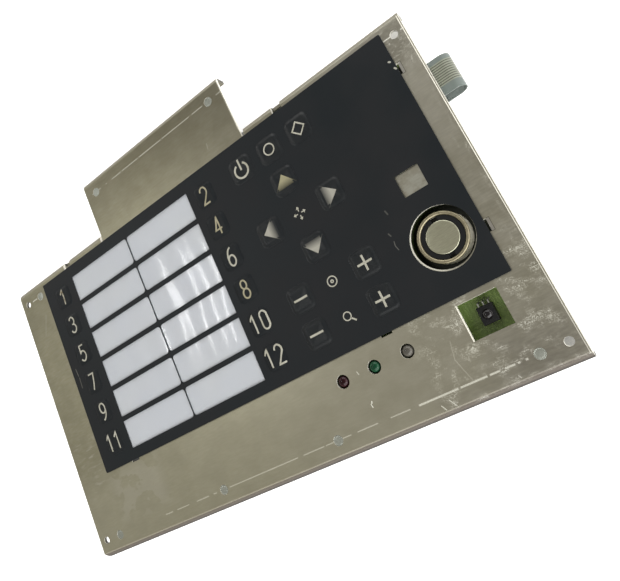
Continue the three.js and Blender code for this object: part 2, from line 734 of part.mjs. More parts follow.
const insulatorRadius = readerBore - INSULATOR_CLEARANCE;
const seatRadius = CONTACT_RADIUS + INSULATOR_CLEARANCE;
const seatHeight = -INSULATOR_DEPTH - CONTACT_SEAT;
const insulatorBody = turned(
  [
    [0, readerFoot],
    [insulatorRadius, readerFoot],
    [insulatorRadius, -INSULATOR_DEPTH],
    [seatRadius, -INSULATOR_DEPTH],
    [seatRadius, seatHeight],
    [0, seatHeight],
  ],
  READER_ROUND,
);
const insulatorNotches = [-1, 1].map((side) => {
  const middleDown = (side * (seatRadius + READER_RADIUS)) / 2;
  const reach = READER_RADIUS - seatRadius + INSULATOR_NOTCH_WIDTH;
  const floor = -INSULATOR_DEPTH - INSULATOR_NOTCH_DEPTH;
  return block(
    -INSULATOR_NOTCH_WIDTH / 2,
    middleDown - reach / 2,
    INSULATOR_NOTCH_WIDTH,
    reach,
    floor,
    0,
  );
});
piece(
  "reader_insulator",
  cut(insulatorBody, insulatorNotches),
  "black",
  readerAcross,
  readerDown,
);
piece(
  "reader_contact",
  turned(
    [
      [0, seatHeight + SEAT_GAP],
      [CONTACT_RADIUS, seatHeight + SEAT_GAP],
      [CONTACT_RADIUS, CONTACT_PROUD - 2 * CONTACT_CROWN],
      [CONTACT_RADIUS - CONTACT_CROWN, CONTACT_PROUD - CONTACT_CROWN],
      [CONTACT_RADIUS / 2, CONTACT_PROUD - CONTACT_CROWN / 4],
      [0, CONTACT_PROUD],
    ],
    READER_ROUND,
  ),
  "contact",
  readerAcross,
  readerDown,
);

// ---- Lamps ------------------------------------------------------------------------------------
const lead = (x, y, bottom, upper) =>
  block(x - LEAD_SIZE / 2, y - LEAD_SIZE / 2, LEAD_SIZE, LEAD_SIZE, bottom, upper);
const leadTip = boardBack - LEAD_LENGTH;

function buildLed() {
  const foot = boardFront + SEAT_GAP;
  const body = turned(
    [
      [0, foot],
      [LED_RADIUS + LED_FLANGE_LIP, foot],
      [LED_RADIUS + LED_FLANGE_LIP, foot + LED_FLANGE_THICKNESS],
      [LED_RADIUS, foot + LED_FLANGE_THICKNESS],
      ...arc(0, LED_PROUD - LED_RADIUS, LED_RADIUS, 0, 1, BEND_STEPS).slice(0, -1),
      [0, LED_PROUD],
    ],
    SMALL_ROUND,
  );
  const leads = [-1, 1].map((side) => lead((side * LED_LEAD_PITCH) / 2, 0, leadTip, foot + LEAD_SIZE));
  return joined([body, ...leads]);
}

["red", "green", "clear"].forEach((colour, index) => {
  const [across, down] = ledPlaces[index];
  piece(`led_${colour}`, buildLed(), colour, across, down);
});

// ---- Infrared receiver: moulded body with a dome, its three leads bent down to the board ------
const irLeadAcross = [-1, 0, 1].map((index) => index * IR_LEAD_PITCH);
const irBend = IR_HEIGHT / 2 + IR_LEAD_REACH;
const irAcross = readerAcross + IR_RIGHT_OF_READER;
const irDown = irWindowTop + IR_BELOW_WINDOW_TOP;

function buildReceiver() {
  const back = boardFront + IR_BOARD_GAP;
  const middle = (back - IR_DEPTH) / 2;
  const body = block(-IR_WIDTH / 2, -IR_HEIGHT / 2, IR_WIDTH, IR_HEIGHT, back, -IR_DEPTH);
  const dome = new THREE.SphereGeometry(IR_LENS_RADIUS, SMALL_ROUND, SMALL_ROUND / 2);
  dome.rotateX(Math.PI / 2).translate(0, 0, -IR_DEPTH + IR_LENS_PROUD - IR_LENS_RADIUS);
  const legs = irLeadAcross.flatMap((x) => [
    block(
      x - LEAD_SIZE / 2,
      -irBend - LEAD_SIZE / 2,
      LEAD_SIZE,
      IR_LEAD_REACH + LEAD_SIZE,
      middle - LEAD_SIZE / 2,
      middle + LEAD_SIZE / 2,
    ),
    lead(x, -irBend, leadTip, middle + LEAD_SIZE / 2),
  ]);
  return joined([body, dome, ...legs]);
}

piece("ir_receiver", buildReceiver(), "black", irAcross, irDown);

// ---- Circuit board ----------------------------------------------------------------------------
const leadHoles = [
  ...ledPlaces.flatMap(([x, y]) => [-1, 1].map((side) => [x + (side * LED_LEAD_PITCH) / 2, y])),
  ...irLeadAcross.map((x) => [irAcross + x, irDown - irBend]),
].map(([x, y]) => circle(x, y, LEAD_HOLE_RADIUS, 8));
const studHoles = boardStudPlaces.map(([x, y]) => circle(x, y, boltHoleRadius, SMALL_ROUND));
const boardFoot = plateHeight - BOARD_MARGIN_BOTTOM;
piece(
  "control_board",
  sheet(
    roundedBox(
      boardLeft,
      BOARD_MARGIN_TOP,
      boardRight - boardLeft,
      boardFoot - BOARD_MARGIN_TOP,
      BOARD_CORNER,
    ),
    [...studHoles, ...leadHoles],
    boardBack,
    boardFront,
  ),
  "board",
);

const standoffShape = sheet(
  circle(0, 0, boltHoleRadius + STANDOFF_WALL, SMALL_ROUND),
  [circle(0, 0, boltHoleRadius, SMALL_ROUND)],
  boardFront + SEAT_GAP,
  -PLATE_THICKNESS - SEAT_GAP,
);
const nutShape = sheet(
  circle(0, 0, NUT_FLATS / 2 / Math.cos(Math.PI / 6), 6),
  [circle(0, 0, boltHoleRadius, SMALL_ROUND)],
  boardBack - SEAT_GAP - NUT_THICKNESS,
  boardBack - SEAT_GAP,
);
boardStudPlaces.forEach(([across, down], index) => {
  piece(`board_standoff_${index + 1}`, standoffShape, "steel", across, down);
  piece(`board_nut_${index + 1}`, nutShape, "steel", across, down);
});

// A square flat-pack chip: chamfered body with legs on all four sides.
function buildChip() {
  const top = boardBack - SEAT_GAP;
  const bottom = top - CHIP_THICKNESS;
  const ring = (inset, level) => [around(0, 0, CHIP_SIZE, CHIP_SIZE, CHIP_CORNER, -inset), level];
  const body = loft([ring(CHIP_CHAMFER, bottom), ring(0, bottom + CHIP_CHAMFER), ring(0, top)], 0);
  const legs = [0, 1, 2, 3].flatMap((side) =>
    Array.from({ length: CHIP_LEGS }, (_, index) => {
      const along = (index - (CHIP_LEGS - 1) / 2) * CHIP_LEG_PITCH;
      const leg = block(
        along - CHIP_LEG_WIDTH / 2,
        CHIP_SIZE / 2 - CHIP_CHAMFER,
        CHIP_LEG_WIDTH,
        CHIP_LEG_REACH + CHIP_CHAMFER,
        top - CHIP_LEG_THICKNESS,
        top,
      );
      return leg.rotateZ((side * Math.PI) / 2);
    }),
  );
  return joined([body, ...legs]);
}

const chipDown = BOARD_MARGIN_TOP + CHIP_FROM_TOP;
piece("controller_chip", buildChip(), "black", boardLeft + CHIP_FROM_LEFT, chipDown);

// Side-entry socket for the lead to the machine: open on its left, with a row of pins inside.
function buildHostSocket() {
  const length = (HOST_PINS - 1) * HOST_PIN_PITCH + 2 * HOST_END;
  const top = boardBack - SEAT_GAP;
  const bottom = top - HOST_HEIGHT;
  const left = -HOST_WIDTH / 2;
  const shell = cut(block(left, -length / 2, HOST_WIDTH, length, bottom, top), [
    block(
      left - 1,
      -length / 2 + HOST_WALL,
      HOST_WIDTH - HOST_WALL + 1,
      length - 2 * HOST_WALL,
      bottom + HOST_WALL,
      top - HOST_WALL,
    ),
  ]);
  const middle = (bottom + top) / 2;
  const pins = Array.from({ length: HOST_PINS }, (_, index) => {
    const along = (index - (HOST_PINS - 1) / 2) * HOST_PIN_PITCH;
    return block(
      -left - HOST_WALL / 2 - HOST_PIN_LENGTH,
      along - HOST_PIN_SIZE / 2,
      HOST_PIN_LENGTH,
      HOST_PIN_SIZE,
      middle - HOST_PIN_SIZE / 2,
      middle + HOST_PIN_SIZE / 2,
    );
  });
  return joined([shell, ...pins]);
}

piece("host_socket", buildHostSocket(), "cream", boardLeft + HOST_FROM_LEFT, chipDown);

// ---- Ribbon tail: dips through the plate, runs behind it, loops round and goes into its socket ---
const tailLower = boardBack - TAIL_BELOW_BOARD;
const socketAcross = overlayRight - SOCKET_INSET;
const socketMouth = socketAcross + SOCKET_WIDTH / 2;

function tailRoute() {
  const level = LAYER_GAP + TAIL_THICKNESS / 2;
  const dip = TAIL_DIP_RADIUS;
  const loopRadius = (-TAIL_DEPTH - tailLower) / 2;
  const loopAcross = plateWidth + TAIL_OVERHANG - TAIL_THICKNESS / 2 - loopRadius;
  return [
    [tailStart, level],
    ...arc(tailDrop - dip, level - dip, dip, 1, 0, BEND_STEPS),
    ...arc(tailDrop + dip, -TAIL_DEPTH + dip, dip, 2, 3, BEND_STEPS),
    ...arc(loopAcross, -TAIL_DEPTH - loopRadius, loopRadius, 1, -1, LOOP_STEPS),
    [socketMouth - TAIL_INSERTED, tailLower],
  ];
}

// Offsets a route by half the ribbon's thickness to each side, and runs it along the ribbon's width.
function ribbon(route, thickness, width) {
  const side = (sign) =>
    route.map(([x, z], index) => {
      const [beforeX, beforeZ] = route[Math.max(index - 1, 0)];
      const [afterX, afterZ] = route[Math.min(index + 1, route.length - 1)];
      const length = Math.hypot(afterX - beforeX, afterZ - beforeZ);
      const offset = (sign * thickness) / 2 / length;
      return [x - (afterZ - beforeZ) * offset, z + (afterX - beforeX) * offset];
    });
  const shape = new THREE.Shape(toVectors([...side(1), ...side(-1).reverse()]));
  const strip = new THREE.ExtrudeGeometry(shape, { depth: width, bevelEnabled: false });
  return strip.rotateX(Math.PI / 2).translate(0, width / 2, 0);
}

piece("flex_tail", ribbon(tailRoute(), TAIL_THICKNESS, TAIL_WIDTH), "circuit", 0, tailDown);

const socketTop = boardBack - SEAT_GAP;
const socketLength = TAIL_WIDTH + 2 * SOCKET_CHEEK;
const mouthHalf = TAIL_THICKNESS / 2 + SOCKET_MOUTH_CLEARANCE;
piece(
  "tail_socket",
  cut(
    block(
      -SOCKET_WIDTH / 2,
      -socketLength / 2,
      SOCKET_WIDTH,
      socketLength,
      socketTop - SOCKET_HEIGHT,
      socketTop,
    ),
    [
      block(
        SOCKET_WIDTH / 2 - TAIL_INSERTED - TAIL_END_GAP,
        -TAIL_WIDTH / 2 - SOCKET_MOUTH_CLEARANCE,
        TAIL_INSERTED + TAIL_END_GAP + 1,
        TAIL_WIDTH + 2 * SOCKET_MOUTH_CLEARANCE,
        tailLower - mouthHalf,
        tailLower + mouthHalf,
      ),
    ],
  ),
  "cream",
  socketAcross,
  tailDown,
);

// ---- The origin is under the middle of the whole, at the height of the stud tips --------------
const extent = new THREE.Box3().setFromObject(panel);
const middle = extent.getCenter(new THREE.Vector3());
panel.position.set(-middle.x, -middle.y, -extent.min.z);

export default panel;
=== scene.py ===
# %% [markdown]
# # A keypad control panel
# The object is the face of a machine: a folded steel plate with a membrane keypad stuck on it, a row
# of lamps, a touch reader and a circuit board behind. The solid model gives every piece its size and
# place. This lesson gives the pieces their finish, and makes the fine surfaces that a solid model
# leaves plain: embossed keys, printed signs, threads, lenses and a ribbon cable.

# %% Load the frame
import math

import bmesh
import bpy
import numpy as np
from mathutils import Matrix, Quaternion, Vector


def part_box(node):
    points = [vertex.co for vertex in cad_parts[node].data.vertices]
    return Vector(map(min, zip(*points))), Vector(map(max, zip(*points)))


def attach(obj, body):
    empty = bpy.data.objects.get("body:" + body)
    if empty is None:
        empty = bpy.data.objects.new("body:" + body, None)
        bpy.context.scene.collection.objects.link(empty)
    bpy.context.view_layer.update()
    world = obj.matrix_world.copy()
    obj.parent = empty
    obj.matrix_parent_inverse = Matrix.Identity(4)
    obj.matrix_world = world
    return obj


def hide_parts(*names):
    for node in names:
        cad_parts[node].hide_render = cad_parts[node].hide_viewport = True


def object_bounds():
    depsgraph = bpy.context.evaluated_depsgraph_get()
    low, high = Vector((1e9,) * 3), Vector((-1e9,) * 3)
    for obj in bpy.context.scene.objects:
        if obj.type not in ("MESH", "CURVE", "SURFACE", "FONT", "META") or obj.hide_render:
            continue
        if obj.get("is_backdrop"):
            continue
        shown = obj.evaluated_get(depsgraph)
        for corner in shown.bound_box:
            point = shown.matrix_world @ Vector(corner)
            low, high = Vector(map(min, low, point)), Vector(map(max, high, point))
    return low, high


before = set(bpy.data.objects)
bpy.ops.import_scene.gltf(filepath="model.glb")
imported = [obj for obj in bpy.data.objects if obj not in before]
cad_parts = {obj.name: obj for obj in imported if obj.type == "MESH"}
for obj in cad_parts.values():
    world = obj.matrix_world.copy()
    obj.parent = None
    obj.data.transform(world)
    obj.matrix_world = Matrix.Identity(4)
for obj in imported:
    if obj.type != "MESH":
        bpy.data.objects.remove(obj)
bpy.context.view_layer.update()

# %% [markdown]
# Drawings of sheet metal give places from a corner of the plate. The same is done here: `spot` turns
# "so far across, so far down, so far above the face" in millimetres into a place in the frame, for
# single numbers and for whole arrays alike. So a surface can be written as three arrays.

# %% Places on the plate
MM = 0.001
PLATE_HEIGHT = 146.8  # between the folds, without the tab

plate_low, plate_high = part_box("panel_plate")
plate_top = plate_low.y + PLATE_HEIGHT * MM
plate_width = (plate_high.x - plate_low.x) / MM
face = plate_high.z


def spot(across, down, above=0.0):
    """x = left edge + across, y = top edge - down, z = face + above; arrays give arrays of points."""
    x, y, z = np.broadcast_arrays(across, down, above)
    return np.stack([plate_low.x + x * MM, plate_top - y * MM, face + z * MM], axis=-1)


def extent(node):
    """A node's left, right, top and bottom on the plate and its lowest and highest level, in mm."""
    low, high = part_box(node)
    left, right = (low.x - plate_low.x) / MM, (high.x - plate_low.x) / MM
    top, bottom = (plate_top - high.y) / MM, (plate_top - low.y) / MM
    return left, right, top, bottom, (low.z - face) / MM, (high.z - face) / MM


def middle(node):
    """The middle of a node on the plate, across and down, in mm."""
    left, right, top, bottom, _, _ = extent(node)
    return (left + right) / 2, (top + bottom) / 2


print("plate: %.1f mm wide, face at %.1f mm" % (plate_width, face / MM))

# %% [markdown]
# ## From arrays to pieces
# Most new pieces are grids: a function of two parameters is worked out for a whole array at once, and
# the quads between neighbours are numbered by slicing one array of indices. Poles and seams are closed
# by merging doubles, and the normals are worked out after that, so that every face points outwards.


# %% Surfaces from arrays
def grid(points, around=False):
    """Quads between neighbours of a rows x columns x 3 array; around joins the last column to the first."""
    rows, columns = points.shape[:2]
    index = np.arange(rows * columns).reshape(rows, columns)
    if around:
        index = np.concatenate([index, index[:, :1]], axis=1)
    corners = [index[:-1, :-1], index[:-1, 1:], index[1:, 1:], index[1:, :-1]]
    return points.reshape(-1, 3), np.stack(corners, axis=-1).reshape(-1, 4).tolist()


def capped(points):
    """A closed tube: a grid that goes round, with one flat face over its first and its last row."""
    vertices, faces = grid(points, around=True)
    rows, columns = points.shape[:2]
    first, last = range(columns), range((rows - 1) * columns, rows * columns)
    return vertices, faces + [list(first), list(last)]


def together(surfaces):
    """Several surfaces as one, with each one's indices moved past the points before it."""
    starts = np.cumsum([0] + [len(points) for points, _ in surfaces])
    faces = [[i + start for i in f] for (_, fs), start in zip(surfaces, starts.tolist()) for f in fs]
    return np.concatenate([points for points, _ in surfaces]), faces


def add_piece(name, surfaces, finish, stands_for=(), body="panel", smooth=35):
    """A mesh object of these surfaces, closed, smoothed and riding on its body."""
    points, faces = together(surfaces)
    mesh = bpy.data.meshes.new(name)
    mesh.from_pydata(points.tolist(), [], faces)
    return settle(name, mesh, finish, stands_for, body, smooth)


def settle(name, mesh, finish, stands_for, body="panel", smooth=35):
    """Merges doubles, turns normals out, smooths up to an angle and puts the mesh on its body."""
    built = bmesh.new()
    built.from_mesh(mesh)
    bmesh.ops.remove_doubles(built, verts=built.verts, dist=0.0005 * MM)
    bmesh.ops.recalc_face_normals(built, faces=built.faces)
    built.to_mesh(mesh)
    built.free()
    mesh.shade_smooth()
    mesh.set_sharp_from_angle(angle=math.radians(smooth))
    mesh.materials.append(finish)
    made = bpy.data.objects.new(name, mesh)
    bpy.context.scene.collection.objects.link(made)
    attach(made, body)
    if stands_for:
        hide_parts(*stands_for)
    return made


def points_of(piece):
    """All points of a piece's mesh, as rows of x, y and z."""
    points = np.empty(3 * len(piece.data.vertices), np.float32)
    piece.data.vertices.foreach_get("co", points)
    return points.reshape(-1, 3)


def note_on_points(piece, name, values):
    """Keeps one number for each point under this name, where the piece's material can read it."""
    piece.data.attributes.new(name, "FLOAT", "POINT").data.foreach_set("value", values)


# %% [markdown]
# ## Materials
# Each material starts from what the real one is. Colours are picked as sRGB hex values, the way a
# paint chart gives them, and one function turns them to the linear values that a renderer counts in.
# One more function adds a node with its settings and links, and all materials are built with it. A table
# says which sockets take the values in turn and which output is read, so a call stays one short line.


# %% Colour and nodes
def linear(code):
    """An sRGB hex value as linear red, green, blue and alpha."""
    shares = np.array([int(code[i : i + 2], 16) / 255 for i in (1, 3, 5)])
    low, high = shares / 12.92, ((shares + 0.055) / 1.055) ** 2.4
    return (*np.where(shares <= 0.04045, low, high).tolist(), 1.0)


KINDS = {  # Blender's name, the sockets that take the values in turn, the output that is read, settings
    "place": ("TexCoord", (), "Object", {}),
    "direction": ("TexCoord", (), "Generated", {}),
    "map": ("Mapping", ("Vector", "Location", "Rotation", "Scale"), 0, {}),
    "split": ("SeparateXYZ", (0,), slice(3), {}),
    "noise": ("TexNoise", ("Vector", "Scale", "Detail", "Distortion"), 0, {}),
    "cells": ("TexVoronoi", ("Vector", "Scale", "Randomness"), "Distance", {"distance": "CHEBYCHEV"}),
    "attribute": ("Attribute", (), "Fac", {}),
    "steps": ("ValToRGB", (0,), 0, {}),
    "mix": ("Mix", (0, 6, 7), 2, {"data_type": "RGBA"}),  # a share, and the colours where it is 0 and 1
    "stretch": ("MapRange", range(5), 0, {}),  # a number, its range, and the range it is moved to
    "bump": ("Bump", ("Height", "Distance"), 0, {}),
    "vector_scale": ("VectorMath", (0, "Scale"), "Vector", {"operation": "SCALE"}),
}
for step in ("add", "subtract", "multiply", "divide", "power", "maximum", "absolute", "sqrt", "sine",
             "fract"):
    KINDS[step] = ("Math", (0, 1), 0, {"operation": step.upper()})
for step in ("subtract", "multiply", "absolute"):
    KINDS["vector_" + step] = ("VectorMath", (0, 1), "Vector", {"operation": step.upper()})
for step in ("length", "distance", "dot_product"):
    KINDS[step] = ("VectorMath", (0, 1), "Value", {"operation": step.upper()})


def add_node(material, kind, *values, **settings):
    """Adds a node. Each value is set at its socket, or linked where it is another node's output."""
    blender_name, sockets, output, usual = KINDS[kind]
    made = material.node_tree.nodes.new("ShaderNode" + blender_name)
    for key, value in {**usual, **settings}.items():
        setattr(made, key, value)
    for key, value in zip(sockets, values):
        if isinstance(value, bpy.types.NodeSocket):
            material.node_tree.links.new(value, made.inputs[key])
        else:
            made.inputs[key].default_value = value
    return made.outputs[output]


def new_material(name, **sockets):
    """A material with one Principled shader, whose sockets take these values."""
    material = bpy.data.materials.new(name)
    material.use_nodes = True
    shader = material.node_tree.nodes["Principled BSDF"]
    for key, value in sockets.items():
        shader.inputs[key.replace("_", " ")].default_value = value
    return material, shader


def feed(material, shader, **sockets):
    """Links outputs to the shader's sockets."""
    for key, value in sockets.items():
        material.node_tree.links.new(value, shader.inputs[key.replace("_", " ")])


print("kinds of node:", len(KINDS))

# %% [markdown]
# ## Patterns at real places
# A mark on the plate is a share from 0 to 1 that depends on the place alone: inside a rectangle, near a
# point, or cloudy with lumps of a known size in millimetres. Shares are joined by taking their product or
# the largest of them, and then they mix colours, so a pattern can be planned on paper with a ruler.


# %% Shares
def scaled_place(material, scale, location=(0, 0, 0)):
    """The object's own coordinates, multiplied and moved: a scale of 1000 / n gives one unit in n mm."""
    return add_node(material, "map", add_node(material, "place"), location, (0, 0, 0), scale)


def axes(material):
    """The object's own x, y and z in mm."""
    return add_node(material, "split", scaled_place(material, (1 / MM,) * 3))


def lumps(material, grain, detail=2.0, distortion=0.0):
    """Cloudy lumps this many mm across, as one number or one for each of x, y and z, from 0 to 1."""
    scale = [1000 / g for g in (grain if isinstance(grain, tuple) else (grain,) * 3)]
    return add_node(material, "noise", scaled_place(material, scale), 1.0, detail, distortion)


def near(material, across, down, reach_across, reach_down, soft):
    """1 at a place on the plate, falling to 0 over the outer share, soft, of an ellipse in mm."""
    x, y, _ = spot(across, down).tolist()
    scale = (1 / (reach_across * MM), 1 / (reach_down * MM), 0)
    away = add_node(material, "length", scaled_place(material, scale, (-x * scale[0], -y * scale[1], 0)))
    return add_node(material, "stretch", away, 1.0, 1.0 - soft)


def inside(material, left, right, top, bottom, soft):
    """1 inside a rectangle on the plate, falling to 0 over a soft edge in mm."""
    centre = spot((left + right) / 2, (top + bottom) / 2).tolist()
    half = ((right - left) / 2 * MM, (bottom - top) / 2 * MM, 1)
    offset = add_node(material, "vector_subtract", add_node(material, "place"), centre)
    past = add_node(material, "vector_subtract", add_node(material, "vector_absolute", offset), half)
    x, y, _ = add_node(material, "split", past)
    return add_node(material, "stretch", add_node(material, "maximum", x, y), soft * MM, 0)


def largest(material, *shares):
    """The largest of several shares."""
    most = shares[0]
    for share in shares[1:]:
        most = add_node(material, "maximum", most, share)
    return most


def product(material, *shares):
    """The product of several shares."""
    result = shares[0]
    for share in shares[1:]:
        result = add_node(material, "multiply", result, share)
    return result


def uneven(name, grain, code, other_code, relief=None, **sockets):
    """A material whose colour drifts between two codes; relief is a bump's grain and depth in mm."""
    material, shader = new_material(name, **sockets)
    tone = add_node(material, "mix", lumps(material, grain), linear(code), linear(other_code))
    feed(material, shader, Base_Color=tone)
    if relief:
        height = lumps(material, relief[0], 1)
        feed(material, shader, Normal=add_node(material, "bump", height, relief[1] * MM))
    return material


# %% [markdown]
# ## Camera
# A catalogue photograph: the camera looks down on the panel steeply from one end, turned so that the long
# side runs across the picture. The place, the lens and the shift were worked out from where known corners
# of the plate appear.

# %% Camera
camera = bpy.data.objects.new("camera", bpy.data.cameras.new("camera"))
bpy.context.scene.collection.objects.link(camera)
bpy.context.scene.camera = camera
camera.data.lens, camera.data.sensor_width = 34.368, 36.0
camera.data.shift_x, camera.data.shift_y = 0.0311, -0.0503
camera.location = (0.13618, -0.06622, 0.23477)
aim = Vector((0.03387, -0.00504, 0.015))
camera.rotation_mode = "QUATERNION"
roll = Quaternion((0, 0, 1), math.radians(-87.14))
camera.rotation_quaternion = (aim - camera.location).to_track_quat("-Z", "Y") @ roll
bpy.context.scene.view_settings.view_transform = "Standard"
print("lens: %.1f mm" % camera.data.lens)

# %% [markdown]
# ## Floor
# The panel lies on pale paper that is lit until it is plain white. Under the holes the paper is painted
# darker, as painted shadow of the panel, which shows through them.

# %% Floor
# Matt white paper: rolled from pulp, without gloss, so that the eye sees no edge and no grain. It lies on a
# light table, whose faint glow through the paper clears the shadows beside and under the panel.
paper, paper_shader = new_material("matt_white_paper", Roughness=1.0, Emission_Color=linear("#ffffff"))
# Under the panel's right half the paper is painted grey and its glow is stopped there: a painted shadow,
# paler at the top right, that shows through the holes. A darker strip of painted shadow lies where the
# lower left slot is looked through.
painted_shadow_strip = inside(paper, 18, 34, 103, 114, 0.5)
shadow_card = add_node(paper, "maximum", inside(paper, 120, plate_width - 3, -6, 143, 0.5), painted_shadow_strip)
paler_shadow_top_right = inside(paper, 200, 262, -20, 30, 10)
shadow_card_tone = add_node(paper, "mix", paler_shadow_top_right, linear("#9a9894"), linear("#cfcdc8"))
shadow_card_tone = add_node(paper, "mix", painted_shadow_strip, shadow_card_tone, linear("#26251f"))
feed(paper, paper_shader, Base_Color=add_node(paper, "mix", shadow_card, linear("#f7f7f6"), shadow_card_tone),
     Emission_Strength=add_node(paper, "stretch", shadow_card, 0, 1, 0.6, 0.05))
FLOOR = 6.0
floor_mesh = bpy.data.meshes.new("floor")
floor_corners = [(x * FLOOR, y * FLOOR, 0) for x, y in ((-1, -1), (1, -1), (1, 1), (-1, 1))]
floor_mesh.from_pydata(floor_corners, [], [(0, 1, 2, 3)])
floor_mesh.materials.append(paper)
floor = bpy.data.objects.new("floor", floor_mesh)
bpy.context.scene.collection.objects.link(floor)
floor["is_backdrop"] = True
print("floor: %.0f m wide" % (2 * FLOOR))

# %% [markdown]
# ## Light
# Metal shows what it mirrors, so large soft boxes stand where the photograph's metal is pale: in front, to
# the left and behind. A small one low at the back draws the slopes of the keys, and a narrow one is the
# streak in the label film.

# %% Light
def softbox(name, place, wide, high, power):
    """A rectangular area light that faces the middle of the panel, its wide side level."""
    light = bpy.data.lights.new(name, "AREA")
    light.shape, light.size, light.size_y, light.energy = "RECTANGLE", wide, high, power
    made = bpy.data.objects.new(name, light)
    made.location = place
    made.rotation_mode = "QUATERNION"
    made.rotation_quaternion = (-Vector(place)).to_track_quat("-Z", "Y")
    bpy.context.scene.collection.objects.link(made)


softbox("key_light", (1.1, -0.35, 0.6), 1.6, 0.9, 9.5)
softbox("left_light", (0.3, -1.15, 0.75), 1.9, 1.2, 22)
softbox("back_light", (0.45, 1.15, 0.5), 1.6, 0.9, 11)
softbox("low_light", (-0.7, 0.66, 0.36), 0.45, 0.2, 0.65)
softbox("window_streaks", (-0.46, 0.21, 0.69), 0.2, 0.05, 0.45)

# A plain room: a pale ceiling that falls off towards the far wall, and is darker straight above, where the
# room has no lamps. The direction's y and z set the shares.
world = bpy.data.worlds.new("studio")
bpy.context.scene.world = world
world.use_nodes = True
air = world.node_tree.nodes["Background"]
air.inputs["Strength"].default_value = 0.75
_, to_wall, to_ceiling = add_node(world, "split", add_node(world, "direction"))
to_wall = add_node(world, "stretch", to_wall, 0.0, 0.7)
to_ceiling = add_node(world, "stretch", to_ceiling, 0.72, 0.98)
room = add_node(world, "mix", to_wall, linear("#c9c6bd"), linear("#9d9990"))
feed(world, air, Color=add_node(world, "mix", to_ceiling, room, linear("#aeaaa2")))

# %% [markdown]
# ## The folded plate
# The plate is cold-rolled steel, cut, folded and zinc plated, and then brushed along its length. The eye
# sees fine streaks from left to right, a warm olive grey, and white rub marks where it was handled. The
# CAD plate has the right shape but knife-sharp edges. A real press leaves a small round on each edge,
# and that round is what catches the light, so a merged copy gets a bevel.

# %% Finished copies of CAD nodes
def finished_copy(node, finish, bevel=0.1, segments=2):
    """A merged copy of a node's mesh with its flat triangles joined and its edges rounded."""
    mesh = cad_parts[node].data.copy()
    mesh.materials.clear()
    built = bmesh.new()
    built.from_mesh(mesh)
    bmesh.ops.remove_doubles(built, verts=built.verts, dist=0.001 * MM)
    bmesh.ops.dissolve_limit(built, verts=built.verts, edges=built.edges, angle_limit=math.radians(1))
    built.to_mesh(mesh)
    built.free()
    made = settle(node + "_finish", mesh, finish, [node])
    edges = made.modifiers.new("edges", "BEVEL")
    edges.width, edges.segments = bevel * MM, segments
    edges.limit_method, edges.angle_limit = "ANGLE", math.radians(40)
    return made


# %% [markdown]
# Wear is drawn in the material: a scratch is the distance to a line between two places, a row of dashes is
# a line that a ramp of black and white stops switches on and off, and a rubbed patch is lumps inside a zone.


# %% Worn marks
def ruled(across, down):
    """The frame's x and y, in mm, of a place on the plate."""
    x, y, _ = spot(across, down).tolist()
    return x / MM, y / MM


def scratches(material, angle, length, width, low, high):
    """Straight hairlines of about this length and width in mm, at this angle from the X axis."""
    turn, scale = (0, 0, math.radians(-angle)), (1000 / length, 1000 / width, 1)
    lines = add_node(material, "map", add_node(material, "place"), (0, 0, 0), turn, scale)
    return add_node(material, "stretch", add_node(material, "noise", lines, 1.0, 0.0), low, high)


def dashes(material, down, half, ends):
    """1 on a line across the plate between each pair of ends, in mm; half is half the line's thickness."""
    x, y, _ = axes(material)
    line_x, line_y = ruled(0, down)
    away = add_node(material, "absolute", add_node(material, "subtract", y, line_y))
    share = add_node(material, "stretch", x, line_x, line_x + plate_width)
    steps = add_node(material, "steps", share)
    steps.node.color_ramp.interpolation = "CONSTANT"
    stops = steps.node.color_ramp.elements
    stops[0].color = stops[1].color = (0, 0, 0, 1)
    for index, end in enumerate(ends):
        level = 1 - index % 2
        stops.new(end / plate_width).color = (level, level, level, 1)
    return product(material, steps, add_node(material, "stretch", away, half + 0.12, half - 0.12))


def scrape(material, start, end, half):
    """1 along a straight scratch between two places on the plate, across and down, in mm."""
    a, b = (spot(*place) * [1, 1, 0] for place in (start, end))
    flat = add_node(material, "vector_multiply", add_node(material, "place"), (1, 1, 0))
    offset = add_node(material, "vector_subtract", flat, a.tolist())
    along = add_node(material, "dot_product", offset, ((b - a) / ((b - a) @ (b - a))).tolist())
    along = add_node(material, "add", along, 0.0, use_clamp=True)
    foot = add_node(material, "vector_scale", (b - a).tolist(), along)
    away = add_node(material, "distance", offset, foot)
    return add_node(material, "stretch", away, (half + 0.1) * MM, (half - 0.1) * MM)


def patch(material, zone, grain, detail, low, high, most=1.0):
    """Lumps that show only inside a soft zone, as a hand or a cloth leaves them."""
    shown = add_node(material, "stretch", lumps(material, grain, detail), low, high, 0, most)
    return product(material, inside(material, *zone), shown)


def washed(material, tone, *washes):
    """The tone with washes of colour laid over it in turn, each a share and a colour code."""
    for share, code in washes:
        tone = add_node(material, "mix", share, tone, linear(code))
    return tone
